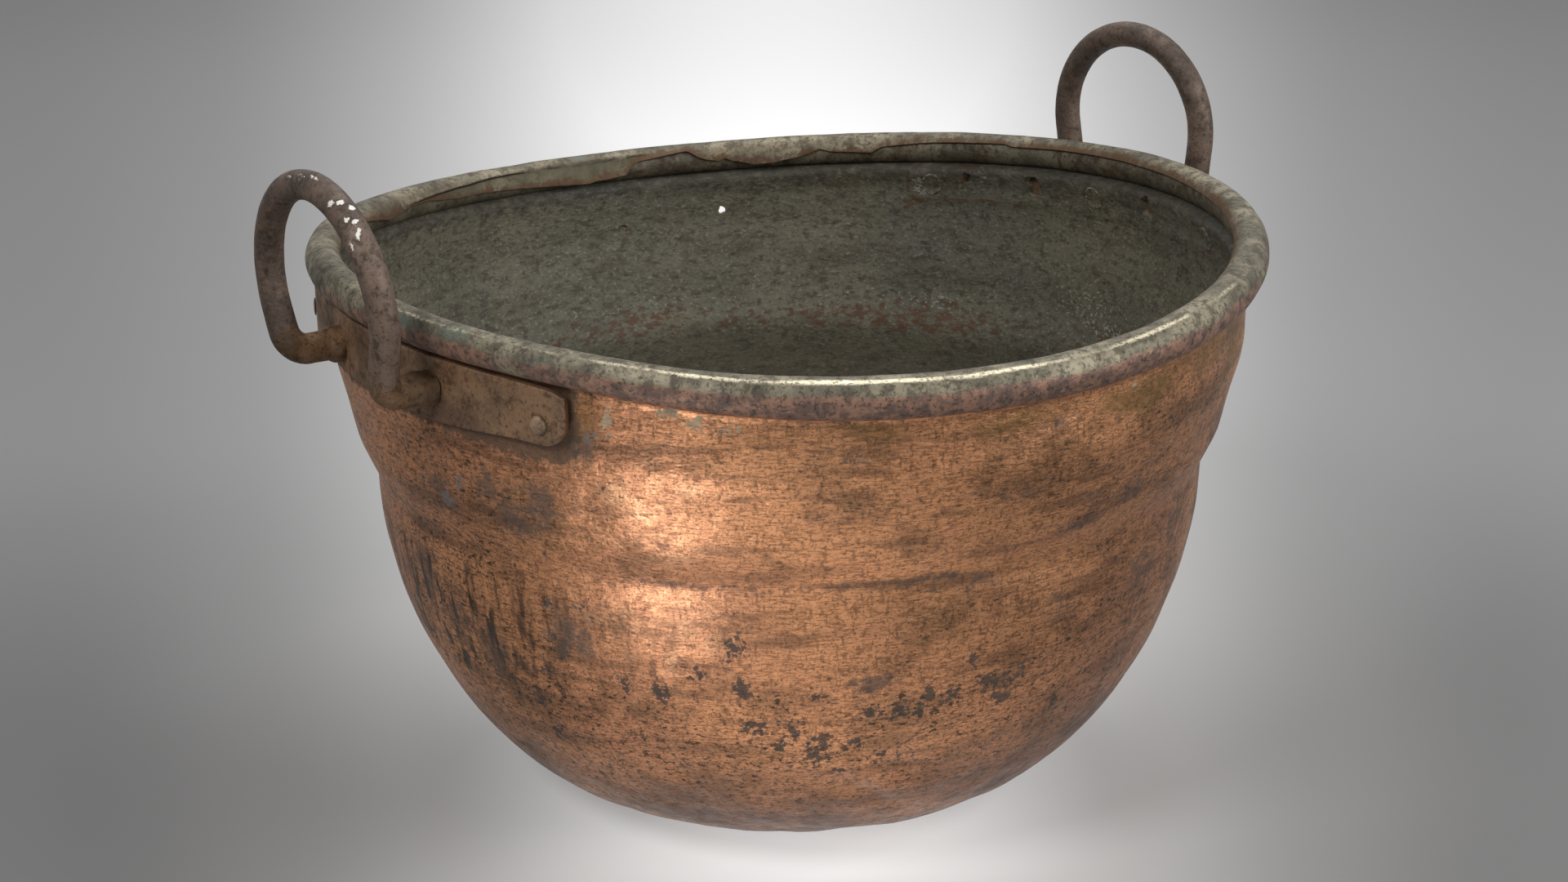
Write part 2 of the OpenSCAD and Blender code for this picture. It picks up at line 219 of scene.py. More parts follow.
# Hammer marks: places on the belly and the neck, radii and depths
DIMPLES = np.concatenate([scattered(420, S_KNUCKLE + 25, S_CREASE - 35),
                          scattered(130, S_CREASE + 35, S_END - 60)])
DIMPLE_R = rng.uniform(9, 17, len(DIMPLES))
DIMPLE_D = rng.uniform(0.25, 0.85, len(DIMPLES))
# Larger dents: place along the profile, direction, half length, half width, tilt, depth
DENTS = [
    (238.0, -117.0, 36.0, 8.0, -45.0, 2.4),
    (247.0, -115.0, 34.0, 9.0, -45.0, -1.2),
    (330.0, 205.0, 26.0, 18.0, 0.0, 1.2),
    (300.0, 219.0, 20.0, 16.0, 30.0, 1.3),
    (285.0, 226.0, 12.0, 10.0, 0.0, 1.5),
    (318.0, 222.0, 15.0, 26.0, 20.0, 1.2),
]


def dents(s, az):
    """Outward displacement of the sheet, in millimetres."""
    s, az = np.broadcast_arrays(np.asarray(s, float), np.asarray(az, float))
    r, z = np.interp(s, PS, PR), np.interp(s, PS, PZ)
    p = polar(r, az, z)
    d = 1.1 * noise(p, 150, 3) + 0.7 * noise(p * (1, 1, 1.6), 62, 4, 2)
    belly = smooth(S_KNUCKLE + 10, S_KNUCKLE + 60, s)
    belly = belly * (1 - smooth(S_CREASE - 40, S_CREASE - 12, s))
    neck = smooth(S_CREASE + 25, S_CREASE + 45, s) * (1 - smooth(S_END - 60, S_END - 30, s))
    low = np.zeros(s.size)
    flat_s, flat_r, flat_az = s.ravel(), r.ravel(), az.ravel()
    for (ds, da), dr, dd in zip(DIMPLES, DIMPLE_R, DIMPLE_D):
        u = flat_s - ds
        near = np.nonzero(np.abs(u) < 2.2 * dr)[0]
        if not len(near):
            continue
        v = np.radians(turn(flat_az[near], da)) * flat_r[near]
        q = (u[near] ** 2 + v ** 2) / dr ** 2
        low[near] -= dd * np.exp(-1.6 * q)
    d = d + low.reshape(s.shape) * np.maximum(belly, 0.55 * neck)
    for ds, da, length, width, tilt, depth in DENTS:
        u, v = s - ds, np.radians(turn(az, da)) * r
        t = math.radians(tilt)
        along = v * math.cos(t) + u * math.sin(t)
        across = u * math.cos(t) - v * math.sin(t)
        d = d - depth * np.exp(-((along / length) ** 2 + (across / width) ** 2) * 1.5)
    calm = 1 - 0.85 * strap_mask(az, z, 6)
    by_rim = 1 - 0.6 * smooth(S_END - 40, S_END - 5, s)
    return d * smooth(S_KNUCKLE - 6, S_KNUCKLE + 40, s) * calm * by_rim


def strap_mask(az, z, soft):
    """1 on the wall behind a strap, falling to 0 over the given distance outside its edge."""
    out = 0
    for q in SIDES.values():
        side = np.abs(turn(az, q["az"])) * math.pi / 180 * WALL_R
        side = side - STRAP_HALF * math.pi / 180 * WALL_R
        up = np.abs(z - (STRAP_TOP - q["strap_h"] / 2)) - q["strap_h"] / 2
        c = STRAP_CORNER
        away = np.hypot(np.maximum(side + c, 0), np.maximum(up + c, 0)) - c
        away = np.where((side < -c) | (up < -c), np.maximum(side, up), away)
        out = np.maximum(out, 1 - smooth(0, soft, away))
    return out


def pot_point(s, az, depth=0.0, inner=False):
    """A point of the sheet, depth inside its outer face, with the dents but not the warp."""
    s, az, depth = np.broadcast_arrays(*(np.asarray(v, float) for v in (s, az, depth)))
    r, z = np.interp(s, PS, PR), np.interp(s, PS, PZ)
    nr, nz = np.interp(s, PS, PNR), np.interp(s, PS, PNZ)
    out = dents(s, az) - depth
    p = polar(r, az, z)
    if inner:
        out = out - 1.5 * strap_mask(az, z, 4.5) * smooth(S_END + 5, S_END - 12, s)
        out = out + 0.25 * noise(p, 9, 21, 2) * smooth(60, 130, s)
        # Caked grime fills the corner between the wall and the ring
        grime = 0.35 + 0.65 * (1 - smooth(52, 70, np.abs(turn(az, 5.0))))
        out = out - 4.6 * grime * smooth(315, 331, z) * (1 - smooth(S_END - 3.2, S_END - 1.6, s))
    else:
        out = out + 0.10 * noise(p, 7, 22, 2) * smooth(60, 130, s)
    meet = ROLL_H * (1 - roll_size(az)) * smooth(S_END - 16, S_END, s)
    return polar(r + nr * out, az, z + nz * out + meet)


# ---- meshes
ROOT = "root"


def in_scene(name, data):
    """A new object in the scene."""
    obj = bpy.data.objects.new(name, data)
    bpy.context.scene.collection.objects.link(obj)
    return obj


def make_mesh(name, verts, faces, material, node, sharp_over, marks):
    """A piece of the object from points in millimetres, in place of a node of the CAD."""
    mesh = bpy.data.meshes.new(name)
    mesh.from_pydata((np.asarray(verts) * MM).tolist(), [], [list(f) for f in faces])
    mesh.validate()
    for key, values in marks.items():
        mark = mesh.attributes.new(key, "FLOAT", "POINT")
        mark.data.foreach_set("value", np.asarray(values, np.float32))
    obj = in_scene(name, mesh)
    mesh.polygons.foreach_set("use_smooth", [True] * len(mesh.polygons))
    if sharp_over is not None:
        mesh.set_sharp_from_angle(angle=math.radians(sharp_over))
    mesh.materials.append(material)
    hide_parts(node)
    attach(obj, ROOT)
    return obj


def grid_faces(rows, cols, start=0, wrap=True):
    """Quads of a grid of points stored row by row, closed round the columns."""
    i = np.arange(rows - 1)[:, None]
    j = np.arange(cols if wrap else cols - 1)[None, :]
    k = (j + 1) % cols
    a = start + i * cols
    f = np.stack([a + j, a + k, a + cols + k, a + cols + j], -1)
    return f.reshape(-1, 4)


def columns(count, dense):
    """Directions round the pot, closer together where dense says."""
    a = np.linspace(-180, 180, 7201)
    w = np.cumsum(dense(a))
    w = (w - w[0]) / (w[-1] - w[0])
    return np.interp(np.arange(count) / count, w, a)


class Shell:
    """Collects points by place along the profile, direction and side (0 is the outer face of the
    sheet, 1 the inner one), and their faces."""

    def __init__(self):
        self.s, self.az, self.side, self.faces = [], [], [], []
        self.count = 0

    def add(self, s, az, side):
        """Adds points and returns the number of the first of them."""
        s, az, side = np.broadcast_arrays(*(np.asarray(v, float) for v in (s, az, side)))
        self.s.append(s.ravel())
        self.az.append(az.ravel())
        self.side.append(side.ravel())
        self.count += s.size
        return self.count - s.size

    def ring(self, s, az, side):
        """Adds a closed ring of points and returns their numbers."""
        first = self.add(s, az, side)
        return list(range(first, self.count))

    def join(self, a, b, inward=False):
        """Quads between two rings with the same number of points."""
        for a0, a1, b0, b1 in zip(a, a[1:] + a[:1], b, b[1:] + b[:1]):
            self.faces.append([a0, b0, b1, a1] if inward else [a0, a1, b1, b0])

    def positions(self):
        s, az, side = (np.concatenate(v) for v in (self.s, self.az, self.side))
        outer = pot_point(s, az)
        inner = pot_point(s, az, SHEET, True)
        return s, az, side, outer * (1 - side[:, None]) + inner * side[:, None]


def slot_az(q):
    """Half of the angle between the feet of a handle, at the wall."""
    leg_in = math.radians(q["leg_in"])
    half = q["arch"] * math.cos(leg_in) - q["leg"] * math.sin(leg_in)
    return math.degrees(math.asin(half * math.cos(math.radians(q["turn"])) / (WALL_R - SHEET)))


# Openings in the wall: direction, height, half width, half height, squareness and the side on which
# they end. None is a hole right through, and below 0 lies in the strap outside the sheet.
HOLES = [
    (60.5, 306.0, 2.5, 2.7, 2.0, None),
    (SIDES["right"]["az"] + 22.2, 325.5, 3.4, 3.6, 3.0, -1.0),
    (75.5, 299.0, 3.1, 3.4, 2.0, 0.35),
]
for q in SIDES.values():
    for sign in (-1, 1):
        HOLES.append((q["az"] + sign * slot_az(q), q["foot_h"], 5.2, 7.0, 4.0, -0.6))


# Marks on the pot: direction in degrees, height, half width, half height and strength
OUTER_MARKS = {
    "soot": [
        (-146, 148, 9, 9, 1), (-136, 183, 8, 10, 0.9), (-135, 154, 9, 10, 0.9),
        (-134, 128, 12, 6, 1), (-126, 147, 5, 4, 1), (-126, 107, 11, 9, 1), (-125, 118, 8, 6, 1),
        (-129, 126, 8, 8, 0.9), (-131, 113, 14, 4, 0.9), (-121, 113, 9, 5, 1),
        (-119, 137, 14, 5, 1), (-115, 136, 7, 7, 1), (-112, 134, 7, 7, 0.9), (-111, 144, 8, 7, 1),
        (-108, 141, 8, 9, 1), (-102, 147, 14, 9, 1), (-100, 133, 11, 6, 1), (-98, 146, 8, 8, 1),
        (-105, 165, 7, 7, 0.9), (-141, 164, 9, 8, 0.8), (-151, 151, 9, 7, 0.8),
        (-166, 124, 8, 7, 1), (-165, 104, 6, 8, 0.9), (-161, 173, 6, 6, 0.8),
        (-163, 148, 6, 8, 0.8), (-151, 113, 8, 5, 0.8), (-144, 91, 10, 4, 0.7),
        (-122, 94, 8, 4, 0.7), (-117, 101, 8, 5, 0.7), (-114, 99, 8, 4, 0.7),
        (-89, 115, 9, 6, 0.7), (-84, 131, 9, 6, 0.7), (-152, 261, 9, 3, 0.8),
        (-160, 230, 3, 3, 0.9), (-140, 305, 4, 4, 0.8), (-146, 290, 4, 3, 0.8),
        (-161, 195, 5, 5, 0.8), (-156, 199, 4, 4, 0.8)],
    "smudge_and_crease_shade": [
        (-119, 157, 20, 8, 1), (-159, 264, 18, 16, 1), (-163, 247, 22, 16, 1),
        (-166, 262, 18, 14, 0.9), (-176, 251, 20, 18, 0.9), (-99, 317, 16, 5, 0.7),
        (-83, 251, 26, 14, 0.7), (-92, 241, 24, 8, 0.7), (-103, 280, 30, 12, 0.6),
        (-107, 212, 32, 9, 0.6), (-92, 186, 32, 14, 0.6), (-75, 184, 26, 24, 0.8),
        (-66, 201, 24, 26, 0.8), (-123, 312, 16, 8, 0.6), (-117, 268, 12, 6, 0.5),
        (-179, 163, 22, 26, 0.9), (-186, 185, 22, 26, 0.9), (-173, 149, 22, 26, 0.9),
        (-158, 178, 24, 26, 0.9), (-152, 300, 10, 8, 0.9), (-60, 250, 30, 40, 0.6)],
    # Polished patches where the broad highlights fall, left of the middle of the side facing the
    # camera: smoother copper with a painted highlight
    "polish_and_highlight": [
        (-149, 276, 15, 9, 1), (-146, 269, 15, 8, 1), (-140, 287, 9, 5, 0.8),
        (-142, 240, 17, 8, 1), (-139, 246, 12, 8, 0.9), (-142, 193, 9, 11, 1),
        (-144, 168, 7, 12, 1), (-143, 147, 9, 5, 0.9), (-150, 169, 7, 8, 0.9),
        (-139, 182, 5, 9, 0.9), (-155, 191, 10, 7, 0.7)],
    "blue": [
        (-154, 270, 6, 3, 1), (-153, 297, 9, 6, 0.8), (-172, 260, 8, 6, 1), (-175, 247, 9, 6, 1),
        (-92, 260, 9, 5, 0.7), (-151, 310, 9, 7, 0.8), (-136, 324, 9, 4, 0.7)],
    "teal": [
        (-149, 321, 5, 8, 1), (-142, 330, 11, 4, 1), (-139, 327, 11, 5, 1), (-135, 325, 7, 4, 0.9),
        (-87, 327, 3, 3, 1.2), (-78, 276, 3, 3, 1.2)],
    "ochre": [
        (-117, 325, 40, 7, 0.7), (-103, 324, 40, 8, 0.8), (-86, 319, 50, 12, 0.9),
        (-72, 322, 40, 16, 0.9), (-60, 305, 40, 24, 0.8), (-152, 318, 12, 16, 0.8),
        (-176, 265, 18, 9, 0.7)],
}
INNER_MARKS = {
    "soot": [
        (75.5, 299, 4, 4, 1.3), (-5, 312, 60, 14, 0.5), (-20, 290, 50, 20, 0.4)],
    "crust": [
        (30, 319, 12, 9, 0.9), (21, 328, 10, 6, 0.6), (56, 249, 9, 4, 0.9), (62, 306, 6, 5, 0.5),
        (0, 250, 40, 20, 0.5)],
    "teal": [
        (83, 292, 4, 4, 1), (84, 328, 8, 4, 0.8), (28, 314, 8, 5, 0.5)],
    "rust": [
        (24, 326, 5, 6, 1), (12, 322, 4, 9, 1), (-11, 322, 6, 8, 1), (-28, 312, 10, 5, 0.7),
        (32, 306, 5, 12, 0.8), (36, 270, 5, 12, 0.5), (18, 262, 8, 10, 0.4), (75, 299, 6, 6, 0.8),
        (110, 250, 16, 12, 0.5)],
}

# Marks of the same kinds on the sides that the photograph doesn't show: seed of the random draws,
# number, heights and half widths
MORE_MARKS = {
    "soot": (1, 60, (70, 200), (5, 13)),
    "smudge_and_crease_shade": (2, 30, (90, 300), (16, 34)),
    "polish_and_highlight": (3, 8, (150, 290), (8, 16)),
    "blue": (4, 10, (230, 320), (5, 9)),
    "teal": (5, 10, (300, 330), (4, 10)),
    "ochre": (6, 9, (300, 330), (20, 50)),
}


def blobs(az, z, table):
    """The strongest of the marks of a table at each point."""
    out = np.zeros(np.shape(az))
    for az0, z0, width, height, strength in table:
        u = np.radians(turn(az, az0)) * WALL_R
        out = np.maximum(out, strength * np.exp(-((u / width) ** 2 + ((z - z0) / height) ** 2)))
    return out


def random_blobs(seed, count, heights, widths):
    r = np.random.default_rng(seed)
    az, z = r.uniform(-48, 150, count), r.uniform(*heights, count)
    width = r.uniform(*widths, count)
    height, strength = width * r.uniform(0.4, 1.0, count), r.uniform(0.6, 1.0, count)
    return list(zip(az, z, width, height, strength))


def body_marks(s, az, z, side):
    """The strength of each kind of mark at the points of the body."""
    p = polar(np.interp(s, PS, PR), az, z)
    patchy = noise(p, 90, 92, 2)
    out, ins = side < 0.5, side >= 0.5
    marks = {key: blobs(az, z, OUTER_MARKS[key] + random_blobs(*more)) * out
             for key, more in MORE_MARKS.items()}
    # Painted shade: darker bands along the crease and 26 mm above it, laid in with the smudges
    crease = peak(z, 220, 5) + 0.5 * peak(z, 246, 5)
    crease = 0.55 * crease * (1 + 0.6 * noise(p, 70, 91)) * out
    marks["smudge_and_crease_shade"] = np.maximum(marks["smudge_and_crease_shade"], crease)
    # Painted shade: darker towards the bottom of the pot and on its right side
    low_and_right_shade = 0.4 * bell(az, -70.0, 34) + 1.0 * (1 - smooth(35, 125, z))
    marks["low_and_right_shade"] = np.clip(low_and_right_shade, 0, 1) * out
    left, right, low = bell(az, 178.0, 34), bell(az, -72.0, 30), 1 - smooth(90, 215, z)
    worn = 0.12 + 0.7 * low + 0.55 * left + 0.35 * right + 0.3 * patchy
    marks["worn"] = np.clip(worn, 0, 1) * out
    behind = smooth(-0.1, 0.5, patchy) * smooth(-60, -40, az) * (1 - smooth(140, 155, az))
    below = (1 - smooth(196, 212, z)) * smooth(105, 135, z)
    marks["streak"] = np.clip(np.maximum(left, behind) * below, 0, 1) * out
    # Painted shadow: a dark band round each strap, and a dark joint line under the roll that is
    # partly painted shade, laid in with the rust stains
    joint_and_shade_under_roll = 1 - smooth(1, 7, np.abs(z - 332))
    marks["rust"] = np.maximum(strap_mask(az, z, 11), 0.35 * joint_and_shade_under_roll) * out
    # Painted shadow: a dark line along the bottom edge where the pot meets the floor, laid in with
    # the soot
    base = (1 - smooth(1.5, 9, z)) * smooth(60, 90, s)
    marks["soot"] = np.maximum(marks["soot"], base * out)

    inner = {key: blobs(az, z, table) for key, table in INNER_MARKS.items()}
    edge = strap_mask(az, z, 4.5) * (1 - strap_mask(az, z, 0.8))
    rust = np.maximum(1.1 * edge * smooth(6, 22, turn(az, 0)),
                      peak(z, 224, 13) * (0.68 + 0.6 * patchy))
    marks["rust"] += np.clip(np.maximum(inner["rust"], rust), 0, 1) * ins
    crust = 0.62 * peak(z, 236, 8) * (0.7 + 0.6 * patchy)
    marks["crust"] = np.maximum(inner["crust"], crust) * ins
    marks["teal"] += inner["teal"] * ins
    # Painted shade: a dark band just under the rim, and a darkening towards the bottom, laid in
    # with the soot marks
    grime = [0.75 * smooth(316, 331, z), 0.3 * (1 - smooth(60, 150, z)), inner["soot"]]
    marks["soot"] += np.max(grime, axis=0) * ins
    marks["low"] = (1 - smooth(196, 224, z)) * ins
    return marks


def cut_face(shell, az, rows, side, first, keep, hole):
    """Clears the cells of one face round a hole and closes in on its edge by rings. Returns the
    numbers of the edge's points, their places along the profile and their directions."""
    haz, hz, hw, hh, power, _ = hole
    hs, cols = float(s_at(hz)), len(az)
    reach_s, reach_a = hh + 5.5, math.degrees((hw + 5.0) / WALL_R)
    i0 = int(np.searchsorted(rows, hs - reach_s)) - 1
    i1 = min(int(np.searchsorted(rows, hs + reach_s)), len(rows) - 1)
    off = turn(az, haz)
    inside = np.nonzero(np.abs(off) < reach_a)[0]
    inside = inside[np.argsort(off[inside])]
    j0, j1 = int(inside[0]) - 1, int(inside[-1]) + 1
    js = [(j0 + k) % cols for k in range((j1 - j0) % cols + 1)]
    keep[i0:i1, js[:-1]] = False
    loop = [(i0, j) for j in js[:-1]] + [(i, js[-1]) for i in range(i0, i1)]
    loop += [(i1, j) for j in js[:0:-1]] + [(i, js[0]) for i in range(i1, i0, -1)]
    edge = [first + i * cols + j for i, j in loop]
    loop_s = np.array([rows[i] for i, j in loop])
    loop_a = np.array([turn(az[j], haz) for i, j in loop])
    angle = np.arctan2(loop_s - hs, np.radians(loop_a) * WALL_R)
    c, sn = np.cos(angle), np.sin(angle)
    k = (np.abs(c / hw) ** power + np.abs(sn / hh) ** power) ** (-1 / power)
    k = k * (1 + 0.12 * np.sin(3 * angle + haz) + 0.08 * np.sin(5 * angle + 2 * haz))
    for t in (0.45, 0.75, 0.92, 1.0):
        s = loop_s * (1 - t) + (hs + k * sn) * t
        a = haz + (loop_a * (1 - t) + np.degrees(k * c / WALL_R) * t)
        ring = shell.ring(s, a, side)
        if side:
            shell.join(ring, edge)
        else:
            shell.join(edge, ring)
        edge = ring
    return edge, s, a


def build_body():
    """Both faces of the sheet up to its roll, with the holes."""
    def dense(a):
        near = np.min([np.abs(turn(a, q["az"])) for q in SIDES.values()], axis=0)
        return 1 + 0.7 * (1 - smooth(34, 40, near))
    az = columns(560, dense)
    outer_rows = np.concatenate([[0.01, 25, 50, 70, 84], np.linspace(93, S_END - 42, 78),
                                 np.linspace(S_END - 38, S_END, 14)])
    inner_rows = np.concatenate([[0.01, 30, 60, 84], np.linspace(96, S_END - 46, 52),
                                 np.linspace(S_END - 43, S_END, 16)])
    shell = Shell()
    grids = []
    for side, rows in enumerate((outer_rows, inner_rows)):
        first = shell.add(rows[:, None], az[None, :], side)
        grids.append((rows, side, first, np.ones((len(rows) - 1, len(az)), bool)))
    for hole in HOLES:
        haz, hs, end = hole[0], float(s_at(hole[1])), hole[-1]
        cut = grids if end is None else grids[1:]
        edge, s, a = [cut_face(shell, az, *grid, hole) for grid in cut][0]
        if end is None:
            # The edge on the inner face has points of its own, so the wall ends in a ring on it
            shell.join(edge, shell.ring(s, a, 1.0))
            continue
        for t in (1.0, 0.6):
            ring = shell.ring(hs + (s - hs) * t, haz + (a - haz) * t, end)
            shell.join(edge, ring, inward=True)
            edge = ring
        centre = shell.add(hs, haz, end)
        shell.faces.extend([b, centre, c] for b, c in zip(edge, edge[1:] + edge[:1]))
    for rows, side, first, keep in grids:
        kept = grid_faces(len(rows), len(az), first).reshape(*keep.shape, 4)[keep]
        shell.faces.extend((kept[:, ::-1] if side else kept).tolist())
    s, a, side, p = shell.positions()
    obj = make_mesh("pot_body", warp(p), shell.faces, MAT["copper"], "copper_pot",
                    None, body_marks(s, a, np.interp(s, PS, PZ), side))
    obj.data.materials.append(MAT["inside"])
    for face in obj.data.polygons:
        face.material_index = int(side[face.vertices[0]] != 0)


# ---- the rolled rim
def on_roll(az, a, wide=ROLL_MID, high=ROLL_MID, lift=0.0):
    """A point at angle a round the middle of the roll. Lift moves it inward and down."""
    r = ROLL_C[0] + wide * np.sin(np.radians(a)) - lift * 0.75
    z = ROLL_C[1] - high * np.cos(np.radians(a)) - lift * 0.4
    return polar(r, az, z)


def along_rim(az):
    """Where noise that varies only along the rim is sampled."""
    return polar(280.0, az, 0.0)


def roll_point(az, a, depth, lift):
    """A point of the rolled rim at angle a round it, depth inside the sheet's outer face."""
    p = on_roll(az, a)
    bump = 0.55 * noise(p, 55, 31, 2) + 0.22 * noise(p, 14, 32, 2)
    bump = bump * smooth(0, 40, a)
    worn = -0.5 * peak(a, 185, 32) + 0.35 * peak(a, 142, 10)
    past, cracked = past_crack(az, a)
    worn = worn - 1.5 * cracked * smooth(-1.5, 1.5, past) + 0.5 * cracked * peak(past, -5, 5)
    size = roll_size(az)
    return on_roll(az, a, ROLL_W * size - depth + bump + worn, ROLL_H * size - depth + bump + worn,
                   lift)


# The cut edge of the rolled sheet, as (direction, angle round the roll)
LIP = [
    (-180, 252), (-150, 250), (-120, 249), (-90, 251), (-60, 250), (-30, 247), (0, 240), (7, 240),
    (15.5, 244), (17, 234), (28, 238), (32, 244), (36.5, 254), (38, 271), (41, 268), (44, 264),
    (46, 254), (47.5, 268), (49, 276), (53, 288), (56, 290), (57, 284), (59, 276), (60, 264),
    (61, 272), (63, 262), (64, 254), (65.5, 228), (66, 225), (68, 231), (70, 238), (73, 246),
    (74.3, 262), (75, 287), (78, 293), (81, 299), (84, 296), (88, 291), (92, 285), (95, 280),
    (100, 278), (103, 276), (106, 274), (108, 268), (110, 262), (113, 262), (116, 265), (118, 272),
    (121, 279), (124, 268), (128, 256), (140, 252), (180, 252)]
# The crack between the upper band and the loose flap below it
CRACK = [
    (70, 222), (76, 226), (88, 228), (95, 229), (98, 231), (101, 238), (106, 244), (110, 250),
    (115, 258)]


def past_crack(az, a):
    """Degrees round the roll past the crack, and how far that stretch of the rim is cracked."""
    x, y = zip(*CRACK)
    line = np.interp(turn(az, 0), x, y) + 1.2 * noise(along_rim(az), 9, 44, 2)
    return a - line, smooth(70, 75, turn(az, 0)) * (1 - smooth(110, 117, turn(az, 0)))


def lip_end(az):
    """The angle round the roll at which the sheet ends, ragged where the lip is long."""
    x, y = zip(*LIP)
    base = np.interp(turn(az, 0), x, y)
    p = along_rim(az)
    long = smooth(255, 285, base)
    return base + (1.5 + 3.0 * long) * noise(p, 9, 41, 3) + 1.2 * noise(p, 45, 42)


INNER_FACE = 395    # angles above it stand for the sheet's inner face
# Marks on the roll: direction, angle round it, half width, half height in degrees and strength
RIM_TEAL = [
    (-168, 140, 14, 34, 1), (-176, 120, 16, 30, 0.8), (-158, 105, 24, 20, 0.7),
    (82, 200, 8, 30, 1), (-140, 70, 30, 16, 0.6), (-60, 130, 30, 20, 0.5), (-20, 150, 40, 26, 0.5),
    (60, 150, 30, 26, 0.5), (-118, 60, 30, 12, 0.6)]


def rim_marks(az, a, end):
    """The strength of each kind of mark at the points of the roll."""
    patchy = noise(on_roll(az, a), 60, 93, 2)
    past, cracked = past_crack(az, a)
    front = bell(az, -125.0, 50)
    rust = (1 - smooth(8, 40, end - a)) * 0.8 + (1 - smooth(8, 34, a)) * 0.7 + 0.25 * patchy
    return {
        # Pale worn ridge, strongest on the side facing the camera: real wear with a painted
        # highlight
        "ridge_wear_and_highlight": np.exp(-((a - 149 - 6 * patchy) / 13) ** 2) * (0.3 + 0.7 * front + 0.4 * patchy),
        "under": (1 - smooth(92, 128, a)) * (0.55 + 0.45 * front + 0.3 * patchy),
        "inner": smooth(200, 232, a) * (a < INNER_FACE) * (0.6 + 0.4 * patchy),
        "flap": cracked * smooth(-1, 2, past) * (a < INNER_FACE),
        "crack": cracked * peak(past, 0.5, 1.6),
        "teal": blobs(az, a, RIM_TEAL),
        "rust": np.clip(rust, 0, 1),
    }


def build_rim():
    """The sheet rolled over the ring, with its torn lip."""
    az = columns(1040, lambda a: 1 + 0.8 * (smooth(30, 40, a) - smooth(118, 128, a)))
    end = lip_end(az)
    long = smooth(256, 292, end)[None, :]
    curl = 1 + 0.7 * noise(along_rim(az), 24, 43, 2)[None, :]

    def layer(t, depth):
        t = t[:, None]
        a = ROLL_START + t * (end[None, :] - ROLL_START)
        lift = (1.2 + 2.6 * long) * np.maximum(0, (a - 240) / 60) ** 2 * curl
        return a, roll_point(az[None, :] + 0 * a, a, depth * (1 - 0.25 * t ** 6), lift)
    a, outer = layer(np.concatenate([np.linspace(0, 0.8, 34), np.linspace(0.8, 1, 30)[1:]]), 0.0)
    a_in, inner = layer(np.linspace(0, 1, 22), SHEET)
    inner = inner[::-1]
    edge_dir = outer[-1] - outer[-2]
    edge_dir /= np.linalg.norm(edge_dir, axis=-1, keepdims=True)
    edge = 0.5 * (outer[-1] + inner[0]) + 0.35 * edge_dir
    p = np.concatenate([outer, edge[None], inner])
    angle = np.concatenate([a, end[None, :] + 3, a_in[::-1] + 400])
    make_mesh("pot_rim", warp(p.reshape(-1, 3)), grid_faces(len(p), len(az)), MAT["rim"],
              "copper_pot", None,
              rim_marks(np.tile(az, len(p)), angle.ravel(), np.tile(end, len(p))))


def build_ring():
    """The iron ring in the roll."""
    cols, sides = 720, 24
    az, a = columns(cols, np.ones_like), np.arange(sides) * 360 / sides
    p0 = on_roll(az[None, :], a[:, None], 9.0, 9.0)
    d = 0.35 * noise(p0, 11, 51, 3) - 0.35
    size = roll_size(az[None, :])
    p = on_roll(az[None, :], a[:, None], ROLL_W * size - SHEET + d, ROLL_H * size - SHEET + d)
    last, j = (sides - 1) * cols, np.arange(cols)
    faces = np.concatenate([grid_faces(sides, cols),
                            np.stack([last + j, last + (j + 1) % cols, (j + 1) % cols, j], -1)])
    make_mesh("rim_iron", warp(p.reshape(-1, 3)), faces, MAT["ring"], "rim_ring",
              None, {"rust": 0.35 + 0.4 * noise(p0.reshape(-1, 3), 40, 94)})


# ---- straps, handles and rivets
def wall_out(az, z, off):
    """A point at a distance off outside the pot's wall, before the warp."""
    return pot_point(s_at(z), az, -off)


def plate_lift(az):
    """How far the ends of the left strap stand off the wall."""
    v = turn(az, SIDES["left"]["az"])
    return (3.0 * smooth(22, 31.5, v) + 4.2 * smooth(-14, -30, v)) * (np.abs(v) < 40)


